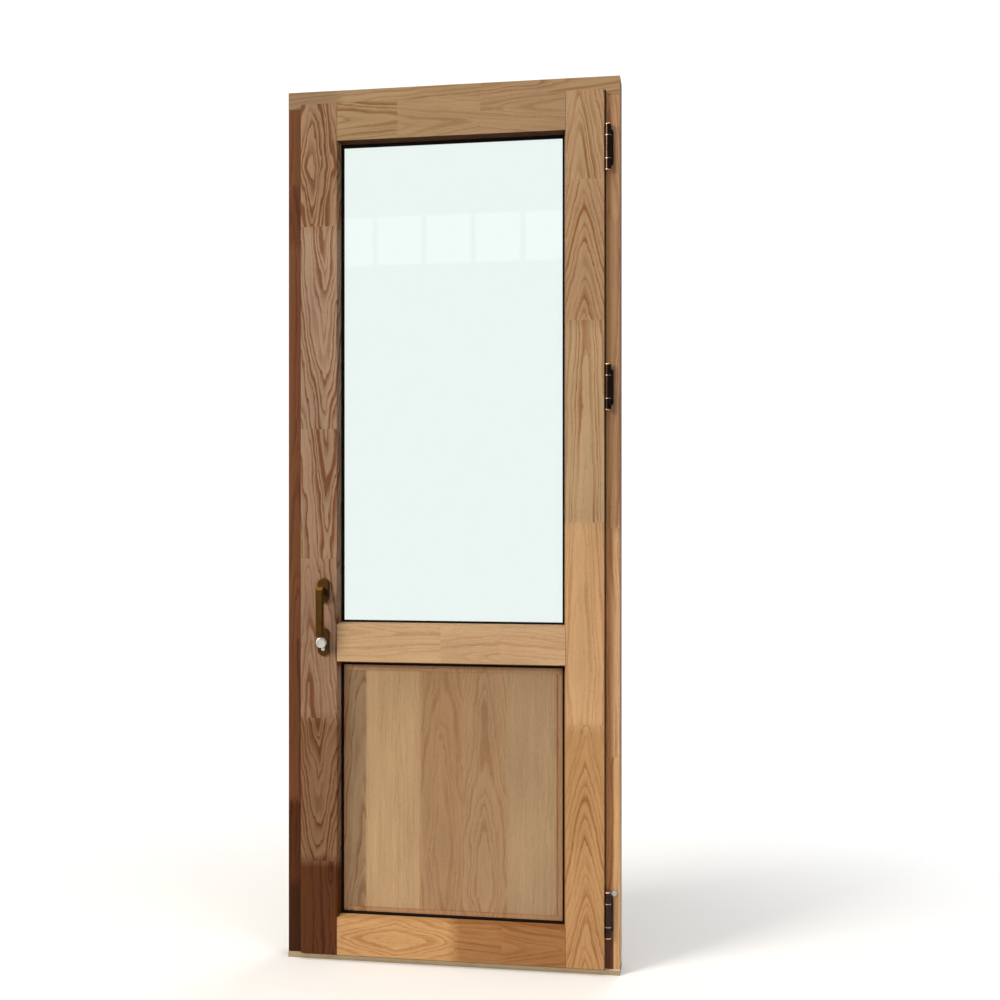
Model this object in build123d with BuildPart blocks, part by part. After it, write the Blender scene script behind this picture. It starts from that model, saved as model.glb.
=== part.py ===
from build123d import *
import os
from math import acos, cos, pi, radians, sin, tan

# Timber entry door: a leaf with a glass pane over a fielded panel, hung in its frame.
# Millimetres. X runs across the door, +Y goes out of the house, +Z is up.
# The origin is on the floor, midway between the jambs, in the plane of the frame's room-side face.

# Frame
frame_width = 920.0
frame_height = 2403.0
frame_depth = 78.0
frame_strip_width = 37.0
frame_step_width = 12.0
frame_step_depth = 10.0
frame_stop_width = 27.0
frame_stop_depth = 25.0
frame_edge_round = 1.5

# Threshold
threshold_height = 15.0
threshold_nose = 4.0
threshold_wall = 2.0
threshold_cells = 3
threshold_slope_width = 4.0
threshold_slope_drop = 3.0
upstand_height = 12.0
upstand_thickness = 6.0

# Leaf
leaf_thickness = 68.0
leaf_proud = 18.0
leaf_edge_gap = 3.5
leaf_floor_gap = 3.0
lip_seat_gap = 1.0
air_gap = 12.0
stile_width = 103.0
top_rail_width = 104.0
middle_rail_width = 101.0
bottom_rail_width = 102.0
panel_opening_height = 706.0
leaf_edge_round = 1.8
bevel_run = 5.5
bevel_depth = 26.0
glazing_cover = 17.5

# Glass unit, gaskets and beads
pane_thickness = 4.0
pane_space = 16.0
spacer_width = 9.0
glass_clearance = 3.0
inner_gasket_thickness = 3.0
outer_gasket_thickness = 3.0
inner_gasket_show = 6.0
outer_gasket_show = 2.0
gasket_slope = 2.0
bead_chamfer = 5.0

# Panel
panel_tongue_thickness = 19.0
panel_gasket_thickness = 8.0
panel_edge_step = 1.0
panel_bevel_rise = 3.5
panel_bevel_width = 15.0
panel_field_step = 2.5
panel_edge_clearance = 0.5

# Seals
seal_groove_width = 4.0
seal_groove_depth = 6.0
seal_inset = 7.5
seal_bulb_width = 9.0
seal_bulb_round = 1.2
seal_clearance = 0.3
floor_seal_width = 6.0
floor_seal_depth = 10.0
floor_seal_setback = 38.0

# Hinges
bottom_hinge_rise = 143.5
top_hinge_drop = 152.5
middle_hinge_drop = 640.0
knuckle_clearance = 0.7
knuckle_radius = 8.8
hinge_pin_radius = 4.5
running_clearance = 0.05
middle_knuckle_length = 60.0
washer_thickness = 1.5
washer_lip = 0.4
washer_play = 0.1
end_knuckle_length = 28.0
hinge_cap_height = 3.0
hinge_cap_radius = 8.4
hinge_cap_round = 2.0
wing_height = 104.0
wing_show = 5.2
wing_thickness = 3.0
wing_chamfer = 8.0
wing_clearance = 0.5
frame_peg_radius = 4.0
frame_peg_length = 40.0
leaf_peg_radius = 4.0
leaf_peg_length = 34.0
leaf_peg_spacing = 34.0
adjuster_head_radius = 7.0
adjuster_head_height = 4.0
adjuster_shank_radius = 4.0
adjuster_shank_length = 25.0
adjuster_gap = 5.0
adjuster_slot_width = 2.2
adjuster_slot_depth = 2.0

# Lock: case, faceplate, gear and bars
lock_backset = 46.0
lock_plane_setback = 47.5
lever_height = 1021.0
lever_to_cylinder = 142.0
faceplate_width = 20.0
faceplate_thickness = 3.0
faceplate_bottom_inset = 155.0
faceplate_top_inset = 169.5
case_width = 19.0
case_wall = 1.2
case_behind_axis = 18.0
case_above_lever = 46.0
case_below_cylinder = 40.0
pocket_clearance = 0.5
lever_turn = 90.0
gear_teeth = 12
drive_travel = 18.0
pressure_angle = 20.0
gear_addendum = 1.5
gear_dedendum = 2.1
rack_addendum = 1.2
rack_dedendum = 1.9
tooth_backlash = 0.3
flank_steps = 3
rack_teeth = 6
rack_teeth_below = 1
follower_hub_radius = 9.0
drive_bar_width = 5.5
drive_bar_thickness = 5.0
drive_bar_clearance = 0.3
drive_bar_end_margin = 30.0
roller_radius = 5.0
roller_stem_radius = 3.0
roller_end_clearance = 1.0
roller_head_length = 6.5
roller_height_shares = {"lower": 0.175, "upper": 0.77}
slot_clearance = 0.4
faceplate_screw_radius = 4.0
faceplate_screw_shank = 2.0
faceplate_screw_length = 25.0
faceplate_screw_shares = [0.0125, 0.2625, 0.535, 0.7575, 0.9875]
faceplate_screw_cone = 2.0

# Deadbolt
deadbolt_thickness = 10.0
deadbolt_height = 30.0
deadbolt_length = 52.0
deadbolt_travel = 20.0
deadbolt_rise = 17.0
deadbolt_notch_width = 10.0
deadbolt_notch_height = 6.0
deadbolt_clearance = 0.3

# Cylinder and thumb-turn
cylinder_radius = 8.5
cylinder_leg_width = 10.0
cylinder_drop = 24.5
cylinder_proud = 2.0
cam_slot = 10.0
cam_play = 0.5
cam_ring_radius = 8.0
cam_reach = 15.0
cam_lobe_width = 7.0
cam_lobe_round = 2.0
turn_shaft_radius = 5.0
knob_radius = 14.0
knob_length = 14.0
knob_stem_radius = 7.0
knob_stem_length = 8.0
knob_edge_round = 2.0
knob_dish_radius = 10.0
knob_dish_depth = 1.2
keyway_width = 2.2
keyway_height = 8.0
keyway_depth = 15.0
part_clearance = 0.3

# Roses, escutcheons and levers
rose_width = 33.5
rose_height = 68.0
rose_thickness = 10.0
rose_wall = 3.0
rose_round = 2.5
rose_bolt_radius = 3.0
rose_bolt_spacing = 50.0
escutcheon_width = 33.0
escutcheon_height = 77.0
escutcheon_thickness = 6.0
escutcheon_round = 2.0
spindle_width = 8.0
spindle_hole_radius = 9.0
spindle_seat_depth = 8.0
lever_width = 20.5
lever_above_axis = 10.5
lever_below_axis = 123.5
lever_bar_thickness = 12.0
lever_stand = 46.0
lever_neck_radius = 8.5
lever_edge_chamfer = 3.0
lever_hip = 8.0
lever_hip_depth = 4.0

# Keeps on the lock jamb
keep_thickness = 3.0
keep_lip_clearance = 1.25
keep_width = 30.0
keep_above = 45.0
keep_below = 45.0
keep_lip_thickness = 6.0
keep_leaf_clearance = 3.5
keep_lip_above = 30.0
keep_lip_below = 8.0
keep_corner_round = 3.0
keep_screw_inset = 8.0
lock_keep_above = 40.0
lock_keep_below = 40.0
bolt_pocket_margin = 1.0
bolt_end_clearance = 4.0
keep_screw_radius = 3.5
keep_screw_shank = 1.8
keep_screw_length = 28.0
keep_screw_cone = 1.8

# Wall fixing holes through the jambs
fixing_radius = 4.0
fixing_height_shares = [0.105, 0.335, 0.585, 0.875]
fixing_setback = 32.0

# One overrun serves all cuts that pass right through
overrun = 5.0

# Lines across the frame
frame_edge = frame_width / 2
strip_edge = frame_edge - frame_strip_width
frame_inner = strip_edge - frame_step_width
stop_edge = frame_inner - frame_stop_width
stop_front = frame_depth - frame_stop_depth
head_bottom = frame_height - frame_strip_width - frame_step_width
head_strip_bottom = frame_height - frame_strip_width
stop_bottom = head_bottom - frame_stop_width

# Lines across the leaf
leaf_edge = strip_edge - leaf_edge_gap
leaf_body_edge = frame_inner - air_gap
leaf_top = head_strip_bottom - leaf_edge_gap
leaf_body_top = head_bottom - air_gap
leaf_bottom = threshold_height + leaf_floor_gap
leaf_face = -leaf_proud
leaf_back = leaf_face + leaf_thickness
lip_back = frame_step_depth - lip_seat_gap
glazing_seat = leaf_face + bevel_depth
stile_arris = leaf_edge - stile_width
sight_edge = stile_arris - bevel_run
rebate_edge = sight_edge + glazing_cover

# Heights of the rails' arrises
panel_bottom_arris = leaf_bottom + bottom_rail_width
panel_top_arris = panel_bottom_arris + panel_opening_height
glass_bottom_arris = panel_top_arris + middle_rail_width
glass_top_arris = leaf_top - top_rail_width

# Places of the hardware
hinge_x = leaf_edge + knuckle_radius + knuckle_clearance
hinge_y = -knuckle_radius - knuckle_clearance
top_hinge_height = leaf_top - top_hinge_drop
hinge_heights = {
    "bottom": leaf_bottom + bottom_hinge_rise,
    "middle": top_hinge_height - middle_hinge_drop,
    "top": top_hinge_height,
}
cylinder_height = lever_height - lever_to_cylinder
faceplate_bottom = leaf_bottom + faceplate_bottom_inset
faceplate_top = leaf_top - faceplate_top_inset
faceplate_length = faceplate_top - faceplate_bottom
lock_x = -(leaf_body_edge - lock_backset)
lock_y = leaf_face + lock_plane_setback
leaf_middle = (leaf_face + leaf_back) / 2
faceplate_back = leaf_body_edge - faceplate_thickness
fixing_heights = [share * frame_height for share in fixing_height_shares]
roller_heights = {name: share * frame_height for name, share in roller_height_shares.items()}
faceplate_screw_heights = [faceplate_bottom + share * faceplate_length for share in faceplate_screw_shares]

# Bars and bolt in the lock, from the case's inner wall to the outer
drive_bar_front = lock_y - case_width / 2 + case_wall + drive_bar_clearance
drive_bar_centre = drive_bar_front + drive_bar_width / 2
drive_bar_outer = faceplate_back - drive_bar_clearance
drive_bar_inner = drive_bar_outer - drive_bar_thickness
drive_bar_low = faceplate_bottom + drive_bar_end_margin
drive_bar_high = faceplate_top - drive_bar_end_margin
deadbolt_front = drive_bar_front + drive_bar_width + part_clearance
deadbolt_centre = deadbolt_front + deadbolt_thickness / 2
deadbolt_bottom = cylinder_height + deadbolt_rise
deadbolt_middle = deadbolt_bottom + deadbolt_height / 2

os.makedirs("parts", exist_ok=True)


def front_plane(depth):
    """A plane facing the room at a depth behind the frame's face, with X across and Z up."""
    return Plane.XZ.offset(-depth)


def save(piece, name):
    """Labels a finished piece and writes it."""
    piece.part.label = name
    export_step(piece.part, f"parts/{name}.step")


def seal_loop(width):
    """Corners of a strip of some width that runs up both stops and across the head."""
    half = width / 2
    outer = stop_edge + seal_inset + half
    inner = outer - width
    top = stop_bottom + seal_inset + half
    return [
        (-outer, threshold_height),
        (-outer, top),
        (outer, top),
        (outer, threshold_height),
        (inner, threshold_height),
        (inner, top - width),
        (-inner, top - width),
        (-inner, threshold_height),
    ]


def jamb_section(side):
    """Corners of a jamb's section on one side of the door: strip, step for the lip, and stop."""
    return [
        (side * strip_edge, 0),
        (side * frame_edge, 0),
        (side * frame_edge, frame_depth),
        (side * stop_edge, frame_depth),
        (side * stop_edge, stop_front),
        (side * frame_inner, stop_front),
        (side * frame_inner, frame_step_depth),
        (side * strip_edge, frame_step_depth),
    ]


def stile_section(side):
    """Corners of a stile's section: face, lip, body, glazing rebate and bevelled sight edge."""
    return [
        (side * stile_arris, leaf_face),
        (side * leaf_edge, leaf_face),
        (side * leaf_edge, lip_back),
        (side * leaf_body_edge, lip_back),
        (side * leaf_body_edge, leaf_back),
        (side * rebate_edge, leaf_back),
        (side * rebate_edge, glazing_seat),
        (side * sight_edge, glazing_seat),
    ]


def euro_profile(clearance):
    """Adds the section of a profile cylinder, grown by a clearance, to the sketch being made."""
    radius = cylinder_radius + clearance
    leg_radius = cylinder_leg_width / 2 + clearance
    leg_drop = cylinder_drop - cylinder_leg_width / 2
    with Locations((lock_x, cylinder_height)):
        Circle(radius)
        Rectangle(2 * leg_radius, leg_drop, align=(Align.CENTER, Align.MAX))
    with Locations((lock_x, cylinder_height - leg_drop)):
        Circle(leg_radius)


# Hinge jamb, with the fixing holes and the holes for the hinges' pegs
end_knuckle_middle = (
    middle_knuckle_length / 2 + washer_play + washer_thickness + end_knuckle_length / 2
)
peg_heights = [
    height + sign * end_knuckle_middle for height in hinge_heights.values() for sign in (-1, 1)
]
adjuster_x = hinge_x + knuckle_radius + knuckle_clearance + adjuster_head_radius
adjuster_z = hinge_heights["bottom"] + wing_height / 2 + adjuster_gap

with BuildPart() as hinge_jamb:
    with BuildSketch(Plane.XY.offset(threshold_height)):
        Polygon(*jamb_section(1), align=None)
    extrude(amount=head_bottom - threshold_height)
    fillet(hinge_jamb.edges().filter_by(Axis.Z).group_by(Axis.Y)[0], frame_edge_round)
    with BuildSketch(front_plane(stop_front)):
        Polygon(*seal_loop(seal_groove_width), align=None)
    extrude(amount=-seal_groove_depth, mode=Mode.SUBTRACT)
    with BuildSketch(Plane.YZ.offset(frame_inner - overrun)):
        with Locations(*[(fixing_setback, height) for height in fixing_heights]):
            Circle(fixing_radius)
    extrude(amount=frame_edge - frame_inner + 2 * overrun, mode=Mode.SUBTRACT)
    with BuildSketch(front_plane(0)):
        with Locations(*[(hinge_x, height) for height in peg_heights]):
            Circle(frame_peg_radius)
    extrude(amount=-frame_peg_length, mode=Mode.SUBTRACT)
    with BuildSketch(front_plane(0)):
        with Locations((adjuster_x, adjuster_z)):
            Circle(adjuster_shank_radius)
    extrude(amount=-adjuster_shank_length, mode=Mode.SUBTRACT)
save(hinge_jamb, "hinge_jamb")

# Lock jamb, with the fixing holes, the bolt's pocket and the holes for the keeps' screws
bolt_pocket_depth = deadbolt_travel - air_gap + bolt_end_clearance
keep_front = drive_bar_centre - roller_radius - keep_lip_clearance - keep_lip_thickness
keep_centre = keep_front + keep_width / 2
keep_spans = {
    "lower": (roller_heights["lower"] - keep_below, roller_heights["lower"] + keep_above),
    "upper": (roller_heights["upper"] - keep_below, roller_heights["upper"] + keep_above),
    "lock": (deadbolt_middle - lock_keep_below, deadbolt_middle + lock_keep_above),
}
keep_screw_places = [
    (keep_centre, height)
    for low, high in keep_spans.values()
    for height in (low + keep_screw_inset, high - keep_screw_inset)
]

with BuildPart() as lock_jamb:
    with BuildSketch(Plane.XY.offset(threshold_height)):
        Polygon(*jamb_section(-1), align=None)
    extrude(amount=head_bottom - threshold_height)
    fillet(lock_jamb.edges().filter_by(Axis.Z).group_by(Axis.Y)[0], frame_edge_round)
    with BuildSketch(front_plane(stop_front)):
        Polygon(*seal_loop(seal_groove_width), align=None)
    extrude(amount=-seal_groove_depth, mode=Mode.SUBTRACT)
    with BuildSketch(Plane.YZ.offset(-frame_edge - overrun)):
        with Locations(*[(fixing_setback, height) for height in fixing_heights]):
            Circle(fixing_radius)
    extrude(amount=frame_edge - frame_inner + 2 * overrun, mode=Mode.SUBTRACT)
    with BuildSketch(Plane.YZ.offset(-frame_inner - bolt_pocket_depth)):
        with Locations((deadbolt_centre, deadbolt_middle)):
            Rectangle(
                deadbolt_thickness + 2 * bolt_pocket_margin,
                deadbolt_height + 2 * bolt_pocket_margin,
            )
    extrude(amount=bolt_pocket_depth + overrun, mode=Mode.SUBTRACT)
    with BuildSketch(Plane.YZ.offset(-frame_inner)):
        with Locations(*keep_screw_places):
            Circle(keep_screw_shank)
    extrude(amount=-keep_screw_length, mode=Mode.SUBTRACT)
save(lock_jamb, "lock_jamb")

# Head, which runs over both jambs and carries the stop between them
with BuildPart() as head:
    with BuildSketch(front_plane(0)):
        with Locations((0, frame_height)):
            Rectangle(frame_width, frame_height - head_bottom, align=(Align.CENTER, Align.MAX))
    extrude(amount=-frame_depth)
    fillet(head.edges().filter_by(Axis.X).group_by(Axis.Y)[0].sort_by(Axis.Z)[-1], frame_edge_round)
    with BuildSketch(front_plane(0)):
        with Locations((0, head_bottom)):
            Rectangle(2 * strip_edge, frame_step_width, align=(Align.CENTER, Align.MIN))
    extrude(amount=-frame_step_depth, mode=Mode.SUBTRACT)
    with BuildSketch(front_plane(stop_front)):
        with Locations((0, head_bottom)):
            Rectangle(2 * stop_edge, frame_stop_width, align=(Align.CENTER, Align.MAX))
    extrude(amount=-frame_stop_depth)
    with BuildSketch(front_plane(stop_front)):
        Polygon(*seal_loop(seal_groove_width), align=None)
    extrude(amount=-seal_groove_depth, mode=Mode.SUBTRACT)
save(head, "head")

# Threshold: an extrusion with open cells, a sloped nose and an upstand between the jambs
threshold_run = frame_depth + threshold_nose
cell_width = (threshold_run - threshold_wall) / threshold_cells - threshold_wall
cell_pitch = cell_width + threshold_wall
cell_height = threshold_height - threshold_slope_drop - 2 * threshold_wall

with BuildPart() as threshold:
    with BuildSketch(Plane.YZ):
        Polygon(
            (-threshold_nose, 0),
            (frame_depth, 0),
            (frame_depth, threshold_height),
            (threshold_slope_width - threshold_nose, threshold_height),
            (-threshold_nose, threshold_height - threshold_slope_drop),
            align=None,
        )
        with Locations(((frame_depth - threshold_nose) / 2, threshold_wall + cell_height / 2)):
            with GridLocations(cell_pitch, 0, threshold_cells, 1):
                Rectangle(cell_width, cell_height, mode=Mode.SUBTRACT)
    extrude(amount=frame_edge, both=True)
    with BuildSketch(Plane.YZ):
        with Locations((stop_front, threshold_height)):
            Rectangle(upstand_thickness, upstand_height, align=(Align.MIN, Align.MIN))
    extrude(amount=stop_edge - part_clearance, both=True)
save(threshold, "threshold")

# Seal in the stop's groove, with a rounded bulb towards the leaf
bulb_thickness = stop_front - leaf_back - seal_clearance
with BuildPart() as frame_seal:
    with BuildSketch(front_plane(stop_front)):
        Polygon(*seal_loop(seal_bulb_width), align=None)
    extrude(amount=bulb_thickness)
    fillet(frame_seal.faces().sort_by(Axis.Y)[0].edges(), seal_bulb_round)
    with BuildSketch(front_plane(stop_front)):
        Polygon(*seal_loop(seal_groove_width - seal_clearance), align=None)
    extrude(amount=-(seal_groove_depth - seal_clearance))
save(frame_seal, "frame_seal")

# Hinge stile, with holes for the pegs of the hinges' middle knuckles
leaf_peg_heights = [
    height + sign * leaf_peg_spacing / 2 for height in hinge_heights.values() for sign in (-1, 1)
]
lip_cut_height = leaf_top - leaf_body_top

with BuildPart() as hinge_stile:
    with BuildSketch(Plane.XY.offset(leaf_bottom)):
        Polygon(*stile_section(1), align=None)
    extrude(amount=leaf_top - leaf_bottom)
    fillet(
        hinge_stile.edges().filter_by(Axis.Z).group_by(Axis.Y)[0].sort_by(Axis.X)[-1],
        leaf_edge_round,
    )
    with BuildSketch(front_plane(lip_back)):
        with Locations((0, leaf_body_top)):
            Rectangle(frame_width, lip_cut_height + overrun, align=(Align.CENTER, Align.MIN))
    extrude(amount=-leaf_thickness, mode=Mode.SUBTRACT)
    with BuildSketch(Plane.YZ.offset(leaf_edge)):
        with Locations(*[(hinge_y, height) for height in leaf_peg_heights]):
            Circle(leaf_peg_radius)
    extrude(amount=-leaf_peg_length, mode=Mode.SUBTRACT)
save(hinge_stile, "hinge_stile")

# Lock stile, with the rebate for the faceplate, the bar's groove, the case's pocket and the cross holes
case_bottom = cylinder_height - case_below_cylinder
case_top = lever_height + case_above_lever
case_depth = faceplate_back + lock_x + case_behind_axis
rose_bolt_heights = [lever_height - rose_bolt_spacing / 2, lever_height + rose_bolt_spacing / 2]
stile_hole_depth = leaf_thickness + 2 * overrun

with BuildPart() as lock_stile:
    with BuildSketch(Plane.XY.offset(leaf_bottom)):
        Polygon(*stile_section(-1), align=None)
    extrude(amount=leaf_top - leaf_bottom)
    fillet(
        lock_stile.edges().filter_by(Axis.Z).group_by(Axis.Y)[0].sort_by(Axis.X)[0],
        leaf_edge_round,
    )
    with BuildSketch(front_plane(lip_back)):
        with Locations((0, leaf_body_top)):
            Rectangle(frame_width, lip_cut_height + overrun, align=(Align.CENTER, Align.MIN))
    extrude(amount=-leaf_thickness, mode=Mode.SUBTRACT)
    with BuildSketch(Plane.YZ.offset(-leaf_body_edge)):
        with Locations((lock_y, faceplate_bottom)):
            Rectangle(
                faceplate_width, faceplate_length, align=(Align.CENTER, Align.MIN)
            )
    extrude(amount=faceplate_thickness, mode=Mode.SUBTRACT)
    with BuildSketch(Plane.YZ.offset(-faceplate_back)):
        with Locations((drive_bar_centre, drive_bar_low - drive_travel - pocket_clearance)):
            Rectangle(
                drive_bar_width + 2 * pocket_clearance,
                drive_bar_high - drive_bar_low + drive_travel + 2 * pocket_clearance,
                align=(Align.CENTER, Align.MIN),
            )
    extrude(amount=drive_bar_thickness + 2 * pocket_clearance, mode=Mode.SUBTRACT)
    with BuildSketch(Plane.YZ.offset(-faceplate_back)):
        with Locations((lock_y, case_bottom)):
            Rectangle(case_width, case_top - case_bottom, align=(Align.CENTER, Align.MIN))
    extrude(amount=case_depth, mode=Mode.SUBTRACT)
    with BuildSketch(front_plane(leaf_face - overrun)):
        with Locations((lock_x, lever_height)):
            Circle(spindle_hole_radius)
        with Locations(*[(lock_x, height) for height in rose_bolt_heights]):
            Circle(rose_bolt_radius)
        euro_profile(part_clearance)
    extrude(amount=-stile_hole_depth, mode=Mode.SUBTRACT)
    with BuildSketch(Plane.YZ.offset(-faceplate_back)):
        with Locations(*[(deadbolt_centre, height) for height in faceplate_screw_heights]):
            Circle(faceplate_screw_shank)
    extrude(amount=faceplate_screw_length, mode=Mode.SUBTRACT)
save(lock_stile, "lock_stile")

# Rails, whose ends are scribed over the stiles
rail_sections = {
    "top_rail": [
        (leaf_face, glass_top_arris),
        (leaf_face, leaf_top),
        (lip_back, leaf_top),
        (lip_back, leaf_body_top),
        (leaf_back, leaf_body_top),
        (leaf_back, glass_top_arris - bevel_run + glazing_cover),
        (glazing_seat, glass_top_arris - bevel_run + glazing_cover),
        (glazing_seat, glass_top_arris - bevel_run),
    ],
    "middle_rail": [
        (leaf_face, panel_top_arris),
        (leaf_face, glass_bottom_arris),
        (glazing_seat, glass_bottom_arris + bevel_run),
        (glazing_seat, glass_bottom_arris + bevel_run - glazing_cover),
        (leaf_back, glass_bottom_arris + bevel_run - glazing_cover),
        (leaf_back, panel_top_arris - bevel_run + glazing_cover),
        (glazing_seat, panel_top_arris - bevel_run + glazing_cover),
        (glazing_seat, panel_top_arris - bevel_run),
    ],
    "bottom_rail": [
        (leaf_face, leaf_bottom),
        (leaf_face, panel_bottom_arris),
        (glazing_seat, panel_bottom_arris + bevel_run),
        (glazing_seat, panel_bottom_arris + bevel_run - glazing_cover),
        (leaf_back, panel_bottom_arris + bevel_run - glazing_cover),
        (leaf_back, leaf_bottom),
    ],
}
floor_seal_front = leaf_face + floor_seal_setback

for rail_name, rail_section in rail_sections.items():
    with BuildPart() as rail:
        with BuildSketch(Plane.YZ):
            Polygon(*rail_section, align=None)
            if rail_name == "bottom_rail":
                with Locations((floor_seal_front, leaf_bottom)):
                    Rectangle(
                        floor_seal_width,
                        floor_seal_depth,
                        align=(Align.MIN, Align.MIN),
                        mode=Mode.SUBTRACT,
                    )
        extrude(amount=rebate_edge, both=True)
        add(lock_stile.part, mode=Mode.SUBTRACT)
        add(hinge_stile.part, mode=Mode.SUBTRACT)
    save(rail, rail_name)

# Seal in the bottom rail's groove, down to the threshold
with BuildPart() as bottom_seal:
    with BuildSketch(Plane.YZ):
        with Locations((floor_seal_front + floor_seal_width / 2, threshold_height + seal_clearance)):
            Rectangle(
                floor_seal_width - 2 * seal_clearance,
                leaf_floor_gap + floor_seal_depth - 2 * seal_clearance,
                align=(Align.CENTER, Align.MIN),
            )
    extrude(amount=rebate_edge - part_clearance, both=True)
save(bottom_seal, "bottom_seal")

# Openings that the glass and the panel fill: sight lines from the lower to the upper rail
glass_sight = (glass_bottom_arris + bevel_run, glass_top_arris - bevel_run)
panel_sight = (panel_bottom_arris + bevel_run, panel_top_arris - bevel_run)
infill_cover = glazing_cover - glass_clearance


def opening(sight, cover):
    """Adds a rectangle that reaches some cover past the sight lines to the sketch being made."""
    low, high = sight
    with Locations((0, (low + high) / 2)):
        Rectangle(2 * (sight_edge + cover), high - low + 2 * cover)


def opening_hole(sight, cover):
    """Cuts a rectangle that reaches some cover past the sight lines from the sketch being made."""
    low, high = sight
    with Locations((0, (low + high) / 2)):
        Rectangle(2 * (sight_edge + cover), high - low + 2 * cover, mode=Mode.SUBTRACT)


# Glass unit: two panes held apart by a spacer
inner_pane_front = glazing_seat + inner_gasket_thickness
spacer_front = inner_pane_front + pane_thickness
outer_pane_front = spacer_front + pane_space
outer_gasket_front = outer_pane_front + pane_thickness
bead_front = outer_gasket_front + outer_gasket_thickness
bead_thickness = leaf_back - bead_front

for pane_name, pane_front in (("inner_pane", inner_pane_front), ("outer_pane", outer_pane_front)):
    with BuildPart() as pane:
        with BuildSketch(front_plane(pane_front)):
            opening(glass_sight, infill_cover)
        extrude(amount=-pane_thickness)
    save(pane, pane_name)

with BuildPart() as glass_spacer:
    with BuildSketch(front_plane(spacer_front)):
        opening(glass_sight, infill_cover)
        opening_hole(glass_sight, infill_cover - spacer_width)
    extrude(amount=-pane_space)
save(glass_spacer, "glass_spacer")

# Gaskets: the inner ones show a sloped edge past the sight line
panel_tongue_front = glazing_seat + panel_gasket_thickness
panel_tongue_back = panel_tongue_front + panel_tongue_thickness
inner_gaskets = {
    "glass_inner_gasket": (glass_sight, inner_gasket_thickness),
    "panel_inner_gasket": (panel_sight, panel_gasket_thickness),
}
for gasket_name, (sight, gasket_thickness) in inner_gaskets.items():
    with BuildPart() as gasket:
        with BuildSketch(front_plane(glazing_seat)):
            opening(sight, infill_cover)
            opening_hole(sight, -inner_gasket_show)
        extrude(amount=-gasket_thickness)
        chamfer(gasket.faces().sort_by(Axis.Y)[0].inner_wires()[0].edges(), gasket_slope)
    save(gasket, gasket_name)

outer_gaskets = {
    "glass_outer_gasket": (glass_sight, outer_gasket_front),
    "panel_outer_gasket": (panel_sight, panel_tongue_back),
}
for gasket_name, (sight, gasket_front) in outer_gaskets.items():
    with BuildPart() as gasket:
        with BuildSketch(front_plane(gasket_front)):
            opening(sight, infill_cover)
            opening_hole(sight, -outer_gasket_show)
        extrude(amount=gasket_front - bead_front)
    save(gasket, gasket_name)

# Panel: a board with a tongue all round and a bevelled, raised field on both faces
slab_cover = -inner_gasket_show - panel_edge_clearance
slab_height = panel_edge_step + panel_bevel_rise

with BuildPart() as door_panel:
    with BuildSketch(front_plane(panel_tongue_front)):
        opening(panel_sight, slab_cover)
    extrude(amount=slab_height)
    chamfer(
        door_panel.faces().sort_by(Axis.Y)[0].edges(),
        panel_bevel_width,
        panel_bevel_rise,
        reference=door_panel.faces().sort_by(Axis.Y)[0],
    )
    with BuildSketch(front_plane(panel_tongue_front - slab_height)):
        opening(panel_sight, slab_cover - panel_bevel_width)
    extrude(amount=panel_field_step)
    with BuildSketch(front_plane(panel_tongue_front)):
        opening(panel_sight, slab_cover)
    extrude(amount=-panel_tongue_thickness / 2)
    mirror(about=front_plane((panel_tongue_front + panel_tongue_back) / 2))
    with BuildSketch(front_plane(panel_tongue_front)):
        opening(panel_sight, infill_cover)
    extrude(amount=-panel_tongue_thickness)
save(door_panel, "door_panel")


# Beads on the outer side, mitred at the corners
def bead_corners(sight, place):
    """Corners of one mitred bead: its edge in the rebate, then its edge at the sight line."""
    low, high = sight
    far_low, far_high = low - glazing_cover, high + glazing_cover
    if place in ("bottom", "top"):
        far, near = (far_low, low) if place == "bottom" else (far_high, high)
        return [(-rebate_edge, far), (rebate_edge, far), (sight_edge, near), (-sight_edge, near)]
    side = -1 if place == "lock_side" else 1
    far_x, near_x = side * rebate_edge, side * sight_edge
    return [(far_x, far_low), (near_x, low), (near_x, high), (far_x, far_high)]


bead_directions = {"bottom": Axis.Z, "top": -Axis.Z, "lock_side": Axis.X, "hinge_side": -Axis.X}
for infill_name, sight in (("glass", glass_sight), ("panel", panel_sight)):
    for place, inward in bead_directions.items():
        with BuildPart() as bead:
            with BuildSketch(front_plane(bead_front)):
                Polygon(*bead_corners(sight, place), align=None)
            extrude(amount=-bead_thickness)
            chamfer(bead.faces().sort_by(Axis.Y)[-1].edges().sort_by(inward)[-1], bead_chamfer)
        save(bead, f"{infill_name}_{place}_bead")

# Hinges: a frame leaf with two end knuckles and a wing, and a sash leaf with the middle knuckle
peg_start = (knuckle_radius + hinge_pin_radius) / 2
bore_radius = hinge_pin_radius + running_clearance
middle_half = middle_knuckle_length / 2
washer_start = middle_half + washer_play
end_start = washer_start + washer_thickness
end_stop = end_start + end_knuckle_length
wing_half = wing_height / 2
wing_edge = hinge_x + knuckle_radius + wing_show
notch_edge = hinge_x + knuckle_radius + wing_clearance

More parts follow.
